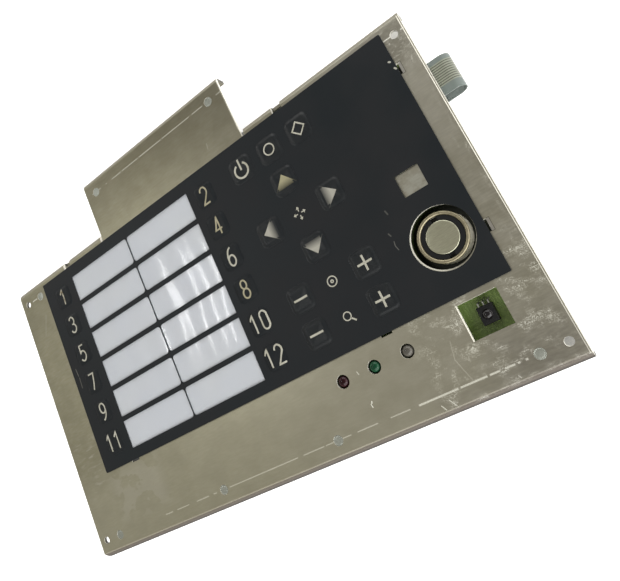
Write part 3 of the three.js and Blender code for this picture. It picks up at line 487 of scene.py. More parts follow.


# %% [markdown]
# The plate's colour starts as one olive grey from left to right. Washes of other tones are laid over it in
# turn, as a painter would: a bright grain, clouds, painted light and painted shade over some zones and
# corners, mottled corners, the folds' painted shade and the coined bars.

# %% The plate's colours
# Brushed zinc-plated steel: plated after it was cut, then drawn along under an abrasive belt. The eye sees
# an olive grey with a fine short grain, cloudy where hands have dulled it, and painted darker round the
# folds as shade. Whitish dashes are left where it rubbed along the folding die.
plate_finish, plate_shader = new_material("brushed_zinc_steel")
m = plate_finish
x, y, z = axes(m)
top_level = face / MM
grain = lumps(m, (4.0, 0.75, 20))
clouds = lumps(m, (9, 7, 20), 3)
tone = add_node(m, "mix", add_node(m, "stretch", x, -20, 95), linear("#b1ad94"), linear("#bcb9ab"))
bright_grain = add_node(m, "stretch", grain, 0.3, 0.7, 0, add_node(m, "stretch", x, 60, 108, 0.3, 0.9))
# Painted light: the upper right of the plate is made paler.
painted_light_upper_right = product(m, add_node(m, "stretch", x, 60, 110), add_node(m, "stretch", y, -20, 20, 0, 0.35))
# Painted shade: the plate round the tab is made darker.
painted_shade_tab_side = product(m, add_node(m, "stretch", y, ruled(0, 12)[1], ruled(0, -22)[1], 0, 0.5),
                   add_node(m, "stretch", x, 55, 35))
# The corners differ: the two on the right are dulled and mottled by hands, the top left one is painted
# darker as shade and the bottom left one paler as painted light.
mottle = add_node(m, "stretch", lumps(m, (3.2, 1.1, 5), 3), 0.35, 0.65, 0.5, 0.9)
tone = washed(
    m, tone,
    (bright_grain, "#cdcabb"),
    (add_node(m, "stretch", clouds, 0.35, 0.65, 0, 0.4), "#9c9882"),
    # Painted light: the zone under the keypad is made paler.
    (product(m, inside(m, 70, 205, 108, 147, 24), 0.26), "#dcd9c6"),  # brighter under the keypad
    (painted_light_upper_right, "#d8d6cc"),
    (painted_shade_tab_side, "#7f7a68"),
    (product(m, inside(m, 230, 262, -8, 14, 12), mottle, 0.55), "#8d897e"),  # top right corner
    (product(m, inside(m, 226, 262, 134, 158, 14), mottle, 0.5), "#89847c"),  # bottom right corner
    (product(m, inside(m, 196, 262, 143, 158, 7), mottle, 0.4), "#89847c"),  # along the fold beside it
    # Painted shade: the top left corner is made darker.
    (product(m, inside(m, -9, 16, -9, 24, 12), 0.26), "#8a8672"),  # top left corner
    # Painted light: the bottom left corner is made paler.
    (product(m, inside(m, -9, 46, 120, 158, 20), 0.3), "#dcd9c6"),  # bottom left corner
)
# The folds are dull where the sheet was stretched, and painted darker as shade: the lower one most, as it
# looks into the dark, and its underside darker still.
lower_fold = add_node(m, "stretch", y, ruled(0, 138)[1], ruled(0, 142)[1])
fold_painted_shade = washed(m, linear("#8f8b7d"), (lower_fold, "#6a635b"))
tone = add_node(m, "mix", add_node(m, "stretch", z, top_level - 0.003, top_level - 0.11), tone, fold_painted_shade)
painted_shade_under_fold = product(m, lower_fold, add_node(m, "stretch", z, top_level - 0.4, top_level - 1.1))
tone = washed(m, tone, (painted_shade_under_fold, "#3b3734"))

# Beside the two right-hand slots the sheet is coined: a pale bar in a dark outline.
SIDE_SLOTS, LOWER_SLOTS, LOWER_SLOTS_DOWN = (21.2, 91.2), (41.1, 185.5), 109.4
overlay_right = extent("keypad_overlay")[1]
for slot_down, code in zip(SIDE_SLOTS, ("#c8c6c0", "#c0bdb6")):
    outline = inside(m, overlay_right + 0.7, overlay_right + 2.0, slot_down - 2.6, slot_down + 2.6, 0.12)
    coined = inside(m, overlay_right + 0.75, overlay_right + 1.85, slot_down - 2.45, slot_down + 2.45, 0.12)
    tone = washed(m, tone, (outline, "#57553f"), (coined, code))
print("plate colours done")

# %% [markdown]
# The plate has been handled for years. The marks stay on its front face, so each is multiplied by a share
# that is 1 at the front's level and 0 below it.

# %% The plate's marks
# Above the reader a square stays cleaner, as if something had covered it. Lower left is a dried stain.
reader_across, reader_down = reader = middle("reader_shell")
covered = (reader_across - 5.4, reader_across + 4.9, reader_down - 29.6, reader_down - 19.9, 0.4)
cleaner = product(m, patch(m, covered, 3.5, 3, 0.62, 0.42), add_node(m, "stretch", grain, 0.3, 0.7, 0.6, 1))
stain = patch(m, (24, 50, 114, 130, 7), (9, 7, 9), 5, 0.47, 0.5, 0.34)
scuffs = patch(m, (5, 18, 90, 116, 5), (7, 2, 5), 5, 0.56, 0.75, 0.7)
front = add_node(m, "stretch", z, top_level - 1.2, top_level - 1.0)
tone = washed(m, tone, (cleaner, "#d6d7cc"), (product(m, largest(m, stain, scuffs), front), "#d6d3c6"))

# Rubbed marks: fine loops and hairlines inside patches, nicks, scratches and rows of dashes.
wander = add_node(m, "subtract", lumps(m, 2.4, 2, distortion=2.2), 0.5)
squiggles = add_node(m, "stretch", add_node(m, "absolute", wander), 0.035, 0.01)
hairlines = [scratches(m, *line) for line in ((38, 7, 0.22, 0.72, 0.78), (-52, 6, 0.2, 0.72, 0.78),
                                              (12, 6, 0.2, 0.73, 0.78))]
nicks = add_node(m, "stretch", lumps(m, (0.9, 0.5, 5), 0), 0.82, 0.86)
patches = largest(m, patch(m, (200, 248, 100, 146, 10), (8, 6, 5), 4, 0.49, 0.64),
                  patch(m, (236, 250, 1, 20, 5), (1.6, 0.9, 5), 3, 0.5, 0.66),
                  patch(m, (243, 250, 20, 100, 3), (2, 7, 5), 3, 0.52, 0.68, 0.4))
patches = product(m, patches, add_node(m, "stretch", z, top_level - 0.5, top_level - 0.1))
dulled_head = product(m, near(m, 212.8, 127.8, 3.2, 2.6, 1.0),
                      add_node(m, "stretch", lumps(m, (1.2, 0.8, 5)), 0.42, 0.6))
# Each scratch: where it starts and ends, half its width in mm, and how strong it is.
scrapes = (((167.8, 130.3), (167.5, 130.9), 0.22, 0.8), ((167.0, 131.2), (167.2, 132.5), 0.18, 0.8),
           ((167.4, 117.6), (167.7, 118.9), 0.16, 0.6), ((15.0, 19.0), (10.0, 29.0), 0.16, 0.35),
           ((147.7, -4.2), (147.3, -1.5), 0.14, 0.4), ((206.4, 122.4), (204.9, 129.0), 0.12, 0.2),
           ((204.9, 129.0), (206.5, 134.9), 0.12, 0.2), ((206.5, 134.9), (207.4, 137.9), 0.12, 0.2),
           ((222.4, 142.6), (223.0, 143.6), 0.16, 0.5), ((196.0, 141.0), (197.8, 143.9), 0.16, 0.6),
           ((192.5, 142.0), (193.6, 144.0), 0.16, 0.6))
# Each row of dashes: how far down it is, half its width, where dashes start and end, and how strong it is.
HOLES_IN, HOLES_DOWN, LOWER_HOLES_DOWN = 4.8, 7.9, 138.7
dash_rows = (
    (LOWER_HOLES_DOWN, 0.2, (47, 52, 55, 62, 67.2, 74.6, 78.1, 80.1, 87.3, 104.5, 105.2, 126.5, 128.8, 139.5,
                             141, 144.4, 148.7, 153, 156, 166, 172, 180), 0.35),
    (LOWER_HOLES_DOWN, 0.36, (184, 200.8, 201.4, 212, 212.9, 217, 219.3, 222.5, 223.8, 225.1, 227.1,
                              228.1), 0.5),
    (-21.2, 0.2, (74, 80.7, 84.7, 85.9, 89.8, 96.5, 97.5, 109, 110.1, 125.3, 126.5, 144.5, 146.8, 153.4,
                  162.2, 164.9), 0.5),
    (HOLES_DOWN, 0.24, (8.5, 12.5, 237.8, 240.8, 245.2, 247.4), 0.75),
)
marks = largest(
    m, product(m, patches, largest(m, squiggles, *hairlines, 0.06), 0.55), product(m, nicks, patches, 0.8),
    product(m, dulled_head, 0.6), *(product(m, scrape(m, *line), share) for *line, share in scrapes),
    *(product(m, dashes(m, *row), share) for *row, share in dash_rows))
marks = product(m, marks, front)
tone = washed(m, tone, (product(m, marks, 0.85), "#e6e7de"))
print("plate marks:", len(scrapes), "scratches,", len(dash_rows), "rows of dashes")

# %% [markdown]
# Where a sheet is sheared or punched, its upper edge is rolled over. The light it catches is painted: a
# pale painted highlight with a darker painted shade beside it. Marks and painted highlights are dull, so they
# are less metallic and rougher.

# %% Rolled edges with painted highlights
# Painted highlights lie on the plate's and the tab's right edges, the reader hole's left side and the
# window's left edge, with painted shade beside the right edges.
plate_right, tab_right = plate_high.x / MM, ruled(165.5, 0)[0]
on_face = add_node(m, "stretch", z, top_level - 0.15, top_level - 0.05)
on_tab = add_node(m, "stretch", y, ruled(0, 0.5)[1], ruled(0, -0.5)[1])
upwards = add_node(m, "stretch", y, ruled(0, 138)[1], ruled(0, 60)[1], 0.4, 1)
STRIP_SOFT = 0.07  # half the width over which a strip fades, in mm


def strip(edge, start, end):
    """1 on a strip along an upright edge, between two distances from it in mm, on the front face."""
    rise = add_node(m, "stretch", x, edge + start - STRIP_SOFT, edge + start + STRIP_SOFT)
    fall = add_node(m, "stretch", x, edge + end + STRIP_SOFT, edge + end - STRIP_SOFT)
    return product(m, rise, fall, on_face)


ways = [add_node(m, "subtract", place, centre) for place, centre in zip((x, y), ruled(*reader))]
away = add_node(m, "sqrt", add_node(m, "add", *(add_node(m, "power", way, 2.0) for way in ways)))
# Painted highlight: a pale crescent round the reader hole, strongest on its left.
reader_painted_highlight = product(m, add_node(m, "stretch", away, 12.8, 12.66),
                 add_node(m, "stretch", ways[0], 3.0, -6.0, 0.1, 0.8))
WINDOW_LEFT, WINDOW_TOP, WINDOW_BOTTOM = reader_across - 7.675, reader_down + 24.85, reader_down + 38.95
# Painted highlight along the window's left edge.
window_painted_highlight = inside(m, WINDOW_LEFT - 0.28, WINDOW_LEFT, WINDOW_TOP, WINDOW_BOTTOM, 0.1)
painted_highlight_edges = largest(m, product(m, strip(plate_right, -0.94, -0.56), upwards),
                 product(m, strip(plate_right, -0.3, 0), 0.6),
                 product(m, strip(tab_right, -0.4, -0.15), on_tab, 0.5), reader_painted_highlight, window_painted_highlight)
# Painted shade: dark lines beside the right-hand highlights.
painted_shade_groove = largest(m, strip(plate_right, -0.5, -0.3), product(m, strip(plate_right, -1.13, -0.98), 0.5),
                 product(m, strip(tab_right, -0.15, 0.1), on_tab, 0.7))
tone = washed(m, tone, (painted_shade_groove, "#5f5c50"), (painted_highlight_edges, "#f4f1e4"))
dull = largest(m, marks, painted_highlight_edges, add_node(m, "stretch", z, top_level - 0.003, top_level - 0.05))
feed(m, plate_shader, Base_Color=tone, Metallic=add_node(m, "stretch", dull, 0, 1, 1, 0.25),
     Roughness=add_node(m, "stretch", dull, 0, 1, 0.34, 0.7),
     Normal=add_node(m, "bump", grain, 0.01 * MM))
print("plate material:", len(m.node_tree.nodes), "nodes")

# %% [markdown]
# The walls of the holes and the right-hand edge are bare sheared metal, so those faces get a second
# material. It is picked by where a face looks: sideways, and close under the front face.

# %% Cut edges
# Sheared steel: the punch leaves a torn grey wall with a bright burnished band, bare of the brushed grain.
edge_finish, edge_shader = new_material("sheared_steel_edge", Metallic=0.2, Roughness=0.5)
m = edge_finish
z = axes(m)[2]
bright_bands = add_node(m, "stretch", lumps(m, 1.0), 0.35, 0.65)
wall_tone = add_node(m, "mix", bright_bands, linear("#e6e3d8"), linear("#efece2"))
# Painted shade: the walls are darker deep down, and round the lamps and the reader that fill their holes.
deep_painted_shade = add_node(m, "stretch", z, top_level - 1.4, top_level - 1.9)
painted_shade_in_filled_holes = largest(m, *(near(m, *middle(name), reach, reach, 0.05) for name, reach in (
    ("led_red", 4), ("led_green", 4), ("led_clear", 4), ("reader_shell", 13.5))))
painted_shade_in_filled_holes = product(m, painted_shade_in_filled_holes, add_node(m, "stretch", z, top_level - 0.35, top_level - 0.6))
# Painted shade: the walls of the left corner holes and the lower slots are dark in a band under the face,
# and the top right hole's are grey there.
top_band = add_node(m, "stretch", z, top_level - 0.05, top_level - 0.25)
painted_shade_rims = [product(m, near(m, *place, reach, reach, 0.05), top_band, share) for *place, reach, share in (
    (HOLES_IN, HOLES_DOWN, 2.6, 1), (HOLES_IN, LOWER_HOLES_DOWN, 2.6, 1),
    (plate_width - HOLES_IN, HOLES_DOWN, 2.6, 0.55),
    *((slot_across, LOWER_SLOTS_DOWN, 3.6, 1) for slot_across in LOWER_SLOTS))]
feed(m, edge_shader, Base_Color=washed(m, wall_tone, (largest(m, deep_painted_shade, painted_shade_in_filled_holes, *painted_shade_rims), "#4a483f")))
plate = finished_copy("panel_plate", plate_finish, bevel=0.18, segments=3)
plate.data.materials.append(edge_finish)
for polygon in plate.data.polygons:
    folds_away = [abs(polygon.center.y - fold) for fold in (plate_low.y, plate_top, plate_high.y)]
    upright = abs(polygon.normal.z) < 0.3 and polygon.center.z > face - 1.6 * MM
    polygon.material_index = int(upright and min(folds_away) >= 3 * MM or abs(polygon.normal.x) > 0.95)
print("cut faces:", sum(polygon.material_index for polygon in plate.data.polygons))

# %% [markdown]
# ## The keypad overlay
# The dark sheet is polyester film, printed on its back and embossed at each key. The eye sees a nearly
# matt charcoal with a fine sand texture. Its edge is cut by a steel rule, so it has hardly any round.

# %% Keypad sheets
# Hard-coated polyester: printed from behind, with a fine velvet texture pressed into the front.
overlay_finish, overlay_shader = new_material("velvet_polyester_film", Specular_IOR_Level=0.31)
m = overlay_finish
handled = add_node(m, "stretch", lumps(m, 28, 3), 0.35, 0.7)
tone = add_node(m, "mix", handled, linear("#0e1418"), linear("#131518"))
# It is scratched through in a few places, down to the paler film under the hard coat.
bare = (((23.7, 54.5), (24.1, 58.5), 0.16, 0.25), ((24.3, 59.5), (24.0, 65.0), 0.16, 0.22),
        ((207.5, 67.4), (207.9, 69.0), 0.3, 0.1), ((204.6, 75.9), (205.1, 77.1), 0.25, 0.12),
        ((205.2, 79.6), (204.9, 81.4), 0.14, 0.2), ((204.9, 81.4), (205.4, 83.3), 0.14, 0.2),
        ((236.0, 16.7), (236.5, 17.1), 0.35, 0.75), ((236.9, 20.2), (237.3, 20.8), 0.35, 0.75))
scraped = largest(m, *(product(m, scrape(m, *line), share) for *line, share in bare))
feed(m, overlay_shader, Base_Color=washed(m, tone, (scraped, "#b5b4a8")),
     Roughness=add_node(m, "stretch", handled, 0, 1, 0.46, 0.56),
     Normal=add_node(m, "bump", lumps(m, 0.35, 1), 0.012 * MM))
finished_copy("keypad_overlay", overlay_finish, bevel=0.05)


def dress(name, finish):
    """Gives a CAD node its finish and leaves its shape alone."""
    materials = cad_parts[name].data.materials
    materials.clear()
    materials.append(finish)


# Clear polyester with silver-carbon tracks: screen printed, then laminated. The eye sees a grey-green film.
dress("circuit_layer", uneven("printed_circuit_film", 6, "#83988f", "#9bb0aa", Roughness=0.35))
# Double-sided tape on a polyester core: die-cut, cream in colour and dull.
dress("spacer_layer", uneven("adhesive_spacer_film", 3, "#cfcab9", "#dcd8c9", Roughness=0.7))
print("sheets done")

# %% [markdown]
# ## The keys
# Each key is pressed up in the same film between two heated tools, over a steel dome. Its outline is a
# rounded rectangle that shrinks as the height grows along a smooth S curve up to a soft rim. Inside the
# rim the film falls gently to a dished middle, which leads the fingertip to the dome. Height is a function
# of the place on the key, so the printed sign can lie on the same surface.

# %% Key surfaces
SHEET_TOP = extent("keypad_overlay")[5]
KEY_FOOT, KEY_SHOULDER, KEY_MIDDLE = SHEET_TOP - 0.02, SHEET_TOP + 0.45, SHEET_TOP + 0.22
KEY_CORNER, KEY_REACH, KEY_SLOPE = 2.5, 0.12, 1.9


def rounded(half_across, half_down, corner, steps=10):
    """A rounded rectangle: four quarter arcs of this corner radius, moved out to the four corners."""
    turn = np.linspace(0, np.pi / 2, steps) + np.arange(4)[:, None] * np.pi / 2
    side_across, side_down = np.array([1, -1, -1, 1])[:, None], np.array([1, 1, -1, -1])[:, None]
    across = side_across * (half_across - corner) + corner * np.cos(turn)
    down = side_down * (half_down - corner) + corner * np.sin(turn)
    return np.stack([across.ravel(), down.ravel()], axis=-1)


def s_curve(share):
    """0 to 1 with a level start and end: 3 t squared - 2 t cubed."""
    share = np.clip(share, 0, 1)
    return share * share * (3 - 2 * share)


def key_level(across, down, half_across, half_down):
    """Height over the plate at a place on a key, from the distance inside its rounded outline."""
    past_a = np.abs(across) - (half_across - KEY_CORNER)
    past_d = np.abs(down) - (half_down - KEY_CORNER)
    inset = KEY_CORNER - np.hypot(np.maximum(past_a, 0), np.maximum(past_d, 0)) - np.minimum(
        np.maximum(past_a, past_d), 0)
    slope = KEY_FOOT + (KEY_SHOULDER - KEY_FOOT) * s_curve(inset / KEY_SLOPE)
    share = np.maximum(np.abs(across) / (half_across - KEY_SLOPE), np.abs(down) / (half_down - KEY_SLOPE))
    return slope + (KEY_MIDDLE - KEY_SHOULDER) * dish(share)


def dish(share):
    """How deep the middle is sunk, 0 at the rim and 1 in the middle: (1 - s squared) squared."""
    return (1 - np.clip(share, 0, 1) ** 2) ** 2


def pillow(across, down, half_across, half_down, bottom):
    """Rings of a rounded rectangle: up the side, in along the S curve, then shrinking into the dish."""
    insets = np.linspace(0, KEY_SLOPE, 9)
    rings = [rounded(half_across - i, half_down - i, max(KEY_CORNER - i, 0.02)) for i in insets]
    levels = (KEY_FOOT + (KEY_SHOULDER - KEY_FOOT) * s_curve(insets / KEY_SLOPE)).tolist()
    for share in (0.9, 0.8, 0.65, 0.5, 0.35, 0.2, 0.0):
        rings.append(rings[8] * share)
        levels.append(KEY_SHOULDER + (KEY_MIDDLE - KEY_SHOULDER) * dish(share))
    rings = [rings[0] * 0, rings[0], *rings]
    levels = [bottom, bottom, *levels]
    return np.stack([spot(across + r[:, 0], down + r[:, 1], z) for r, z in zip(rings, levels)])


print("keys stand %.2f mm over the sheet" % (KEY_SHOULDER - SHEET_TOP))

# %% [markdown]
# The keys share one finish in two states. The control keys are polished by use, and the number keys keep
# more of the sheet's velvet.

# %% Key films
def key_film(name, specular, smoothest, dullest):
    """Embossed polyester: the same dark film, stretched over a heated tool and touched by fingers."""
    material, shader = new_material(name, Specular_IOR_Level=specular)
    touched = add_node(material, "stretch", lumps(material, 5), 0.4, 0.65)
    tone = add_node(material, "mix", touched, linear("#0d1216"), linear("#101417"))
    feed(material, shader, Base_Color=tone,
         Roughness=add_node(material, "stretch", touched, 0, 1, smoothest, dullest),
         Normal=add_node(material, "bump", lumps(material, 0.35, 1), 0.01 * MM))
    return material


polished_film = key_film("embossed_polyester_film", 0.42, 0.36, 0.44)
velvet_film = key_film("velvet_embossed_film", 0.29, 0.47, 0.57)

key_nodes = [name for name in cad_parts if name.startswith("key_")]
key_halves = {}
for name in key_nodes:
    left, right, top, bottom, low, _ = extent(name)
    halves = (right - left) / 2 + KEY_REACH, (bottom - top) / 2 + KEY_REACH
    key_halves[name] = halves
    surface = grid(pillow(*middle(name), *halves, low), around=True)
    finish = velvet_film if name[4:].isdigit() else polished_film
    add_piece(name + "_film", [surface], finish, [name], name, 60)
print("keys:", len(key_nodes))

# %% [markdown]
# ## Printed signs
# Signs are screen printed in an ivory ink. Each one is a pen stroke: a path with a width, laid on the
# key's surface as a very thin closed ribbon. Numbers are drawn in a unit box and stretched to the size
# of the type. Triangles are strokes whose width falls to nothing.

# %% Strokes
INK = 0.03


def arc(centre, radii, start, end, steps=20):
    """Points of an elliptic arc between two angles in degrees."""
    turn = np.radians(np.linspace(start, end, steps))
    return [(centre[0] + radii[0] * math.cos(t), centre[1] + radii[1] * math.sin(t)) for t in turn]


def finely(path, width, closed, step=0.3):
    """The same path and widths with points added on the straights, at most this many mm apart."""
    path, width = np.asarray(path, float), np.broadcast_to(width, len(path)).astype(float)
    if closed:
        path, width = np.vstack([path, path[:1]]), np.append(width, width[0])
    counts = np.ceil(np.linalg.norm(np.diff(path, axis=0), axis=1) / step).astype(int)
    where = np.concatenate([i + np.arange(n) / n for i, n in enumerate(counts)])
    if not closed:
        where = np.append(where, len(path) - 1)
    index = np.arange(len(path))
    columns = [np.interp(where, index, values) for values in (*path.T, width)]
    return np.stack(columns[:2], axis=-1), columns[2]


def stroke(path, width, level, closed=False, columns=5):
    """A ribbon along a path of x, y: each point's normal, mitred at corners, times half the width."""
    path, width = finely(path, width, closed)
    if closed:
        step = np.roll(path, -1, axis=0) - path
        before = np.roll(step, 1, axis=0)
    else:
        step = np.diff(path, axis=0)
        before, step = np.vstack([step[:1], step]), np.vstack([step, step[-1:]])
    before, step = (v / np.linalg.norm(v, axis=1, keepdims=True) for v in (before, step))
    tangent = before + step
    tangent /= np.maximum(np.linalg.norm(tangent, axis=1, keepdims=True), 1e-6)
    mitre = 1 / np.maximum((tangent * step).sum(axis=1), 0.55)
    normal = np.stack([-tangent[:, 1], tangent[:, 0]], axis=-1) * (width * mitre / 2)[:, None]
    share = np.concatenate([np.linspace(-1, 1, columns), np.linspace(1, -1, columns)])
    lift = np.repeat([INK, -INK / 2], columns)
    flat = path[:, None] + share[None, :, None] * normal[:, None]
    points = np.dstack([flat, level(flat[..., 0], flat[..., 1]) + lift])
    if closed:
        points = np.concatenate([points, points[:1]])
        return grid(points, around=True)
    return capped(points)


def on_key(name):
    """The height of one key as a function of the place on it, for the sign that lies there."""
    return lambda across, down: key_level(across, down, *key_halves[name])


def printed(name, strokes, finish, body, across, down):
    """One sign, moved from its own centre to its place, riding on the body it is printed on."""
    points, faces = together(strokes)
    points = spot(across + points[:, 0], down - points[:, 1], points[:, 2])
    return add_piece(name, [(points, faces)], finish, body=body, smooth=60)


# %% [markdown]
# Numbers are made of digits, and a digit of one or two strokes in a unit box. The ink is a plain matt one,
# a little uneven. Three states of it are used, because some of the real numbers have yellowed more.

# %% Numbers
DIGITS = {  # paths in a box one wide and one high; True where the path closes on itself
    "0": [(arc((0.5, 0.74), (0.5, 0.26), 180, 0, 14) + arc((0.5, 0.26), (0.5, 0.26), 0, -180, 14), True)],
    "1": [([(0.05, 0.74), (0.55, 1), (0.55, 0)], False)],
    "2": [(arc((0.5, 0.72), (0.5, 0.28), 170, -25, 18) + [(0, 0), (1, 0)], False)],
    "3": [(arc((0.47, 0.765), (0.45, 0.235), 160, -90, 16)
           + arc((0.47, 0.265), (0.53, 0.265), 90, -160, 18)[1:], False)],
    "4": [([(0.72, 0), (0.72, 1), (0, 0.3), (1.05, 0.3)], False)],
    "5": [([(0.92, 1), (0.16, 1), (0.08, 0.53)] + arc((0.45, 0.32), (0.55, 0.32), 120, -150, 20), False)],
    "6": [(arc((0.5, 0.3), (0.5, 0.3), 90, -270, 28)[:-1], True),
          (arc((0.92, 0.36), (0.92, 0.66), 97, 178, 12), False)],
    "7": [([(0, 1), (1, 1), (0.32, 0)], False)],
    "8": [(arc((0.5, 0.765), (0.42, 0.235), -90, 270, 26)[:-1], True),
          (arc((0.5, 0.265), (0.5, 0.265), 90, -270, 28)[:-1], True)],
}
DIGITS["9"] = [([(1 - x, 1 - y) for x, y in path], closed) for path, closed in DIGITS["6"]]
DIGIT_WIDTH, DIGIT_HEIGHT, DIGIT_GAP, DIGIT_STROKE = 3.5, 8.3, 2.1, 0.78


def digits(number, level):
    """The strokes of a whole number, centred."""
    text = str(number)
    pitch = DIGIT_WIDTH + DIGIT_GAP
    first = -(len(text) - 1) * pitch / 2 - DIGIT_WIDTH / 2
    made = []
    for index, letter in enumerate(text):
        for path, closed in DIGITS[letter]:
            placed = [(first + index * pitch + x * DIGIT_WIDTH, (y - 0.5) * DIGIT_HEIGHT) for x, y in path]
            made.append(stroke(placed, DIGIT_STROKE, level, closed))
    return made


def ink(name, code, worn_code, patches=2.5):
    """Screen-printed epoxy ink, slightly uneven where the mesh let less of it through, matt."""
    material, shader = new_material(name, Roughness=0.55)
    worn = add_node(material, "stretch", lumps(material, patches), 0.4, 0.7)
    feed(material, shader, Base_Color=add_node(material, "mix", worn, linear(code), linear(worn_code)))
    return material


# The same ivory ink as new, yellowed, and worn down to the dark film.
ivory_ink = ink("ivory_ink", "#a6a498", "#9b998a")
yellow_ink = ink("yellowed_ivory_ink", "#969079", "#8a846b")
worn_ink = ink("worn_ivory_ink", "#a19e8f", "#655a42", 2.0)

for number in range(1, 13):
    name = "key_%d" % number
    finish = {1: worn_ink, 2: yellow_ink, 4: yellow_ink, 8: yellow_ink}.get(number, ivory_ink)
    printed("print_" + name, digits(number, on_key(name)), finish, name, *middle(name))
print("numbers printed")

# %% [markdown]
# The other keys have signs that anyone can read: a power ring, triangles, minus and plus. Two keys and
# three places on the sheet have small pictograms: a ring and a diamond, four ways, a lens and a loupe.

# %% Signs
def tip_ink(name, base_code, tip_code):
    """Halftone ink: a screen of dots thins out towards the triangle's base, so it darkens there."""
    material, shader = new_material(name, Roughness=0.55)
    along = add_node(material, "attribute", attribute_name="along")
    share = add_node(material, "stretch", along, 0.0, 0.55)
    feed(material, shader, Base_Color=add_node(material, "mix", share, linear(base_code), linear(tip_code)))
    return material


TRIANGLE_BASE, TRIANGLE_HEIGHT = 10.4, 6.2


def triangle(direction, level, steps=14):
    """A stroke from the base to the tip whose width falls evenly to nothing."""
    share = np.linspace(0, 1, steps)[:, None]
    path = (share - 0.5) * TRIANGLE_HEIGHT * np.array(direction)[None]
    return stroke(path, TRIANGLE_BASE * (1 - share[:, 0]) + 0.002, level, columns=9)


arrow_ink = tip_ink("halftone_ivory_ink", "#2b2c2a", "#96948a")
arrow_yellow = tip_ink("halftone_yellow_ink", "#3a3829", "#8d886c")
for name, direction in (("key_up", (0, 1)), ("key_down", (0, -1)), ("key_left", (-1, 0)),
                        ("key_right", (1, 0))):
    finish = arrow_yellow if name == "key_up" else arrow_ink
    made = printed("print_" + name, [triangle(direction, on_key(name))], finish, name, *middle(name))
    from_middle = (points_of(made) - spot(*middle(name)))[:, :2]
    share = from_middle @ np.array(direction) / (TRIANGLE_HEIGHT * MM) + 0.5
    note_on_points(made, "along", np.clip(share, 0, 1))

BAR, BAR_HALF, KEY_LINE, SHEET_LINE = 0.92, 3.35, 0.62, 0.5
minus = lambda level: [stroke([(-BAR_HALF, 0), (BAR_HALF, 0)], BAR, level)]
plus = lambda level: minus(level) + [stroke([(0, way * BAR_HALF), (0, way * BAR / 2)], BAR, level)
                                     for way in (1, -1)]
signs = {
    "key_power": lambda level: [stroke(arc((0, -0.6), (3.45, 3.45), 120, 420, 40), BAR, level),
                                stroke([(0, -0.4), (0, 5.0)], BAR, level, columns=3)],
    "key_function_a": lambda level: [stroke(arc((0, 0), (2.5, 2.5), 0, 350, 30), KEY_LINE, level, True)],
    "key_function_b": lambda level: [stroke(3.1 * np.array([(0, 1), (1, 0), (0, -1), (-1, 0)]), KEY_LINE,
                                            level, True)],
    "key_focus_minus": minus,
    "key_zoom_minus": minus,
    "key_focus_plus": plus,
    "key_zoom_plus": plus,
}
for name, draw in signs.items():
    printed("print_" + name, draw(on_key(name)), ivory_ink, name, *middle(name))

flat = lambda x, y: np.full(np.shape(x), SHEET_TOP)
directions = ((1, 0), (-1, 0), (0, 1), (0, -1))
four_ways = [stroke(np.outer((0.9, 2.0), way), 0.45, flat) for way in directions]
four_ways += [stroke(np.outer((2.0, 3.1), way), (1.7, 0.01), flat) for way in directions]
lens_sign = [stroke(arc((0, 0), (2.1, 2.1), 0, 350, 30), SHEET_LINE, flat, True),
             stroke(arc((0, 0), (0.55, 0.55), 0, 330, 12), SHEET_LINE, flat, True)]
loupe_sign = [stroke(arc((-0.6, 0.6), (1.7, 1.7), 0, 350, 30), SHEET_LINE, flat, True),
              stroke([(0.65, -0.65), (2.4, -2.4)], 0.7, flat)]
for name, strokes, row in (("print_ways", four_ways, "key_5"), ("print_lens", lens_sign, "key_9"),
                           ("print_loupe", loupe_sign, "key_11")):
    printed(name, strokes, ivory_ink, "panel", middle("key_up")[0], middle(row)[1])
print("signs printed")

# %% [markdown]
# ## Labels and their window film
# Paper cards slide in behind a clear film. The film is a calendered polyester sheet that is held only at
# its edges, so it is not quite flat: its height is a sum of two slow waves, and they bend the mirrored
# light into soft streaks.

# %% Labels
# Coated paper card: clay coated and calendered, a cool white that looks pale grey under the film.
card_finish = uneven("coated_label_card", 20, "#e5e9f4", "#ebedf0", Roughness=0.6)
for name in ("label_card_left", "label_card_right"):
    dress(name, card_finish)

# Clear polyester window: cast against a polished drum, glossy, so that it mirrors whatever is bright.
film_finish, film_shader = new_material("clear_window_film", Base_Color=linear("#a8acaf"), Roughness=0.12,
                                        Alpha=0.25, IOR=1.75)
m = film_finish
phase = add_node(m, "add", add_node(m, "divide", axes(m)[0], 2.4),
                 add_node(m, "multiply", lumps(m, (90, 50, 90), 1), 6.0))
swell = add_node(m, "stretch", add_node(m, "sine", phase), -1, 1)
feed(m, film_shader, Normal=add_node(m, "bump", swell, 0.2 * MM))
FILM_TOP, FILM_BOTTOM, LABEL_PITCH = 0.055, 0.145, 16


def waves(across, down):
    """Two sines: 0.01 sin(across / 2.4 + drift), where drift changes from row to row, and
    0.008 sin(down / 4.1 + across / 23)."""
    row = down / LABEL_PITCH
    drift = 1.3 * np.sin(row * 1.3) + 0.5 * np.sin(row * 5.1)
    return 0.01 * np.sin(across / 2.4 + drift) + 0.008 * np.sin(down / 4.1 + across / 23)


def film_sheet(left, right, top, bottom, high):
    """Upper and lower skin of the film on the same waves, and the narrow wall that joins them."""
    across = np.linspace(left, right, 150)[None, :]
    down = np.linspace(top, bottom, 130)[:, None]
    upper, lower = (spot(across, down, high - sunk + waves(across, down)) for sunk in (FILM_TOP, FILM_BOTTOM))
    border = lambda skin: np.concatenate([skin[0], skin[1:, -1], skin[-1, -2::-1], skin[-2:0:-1, 0]])
    return [grid(upper), grid(lower), grid(np.stack([border(upper), border(lower)]), around=True)]


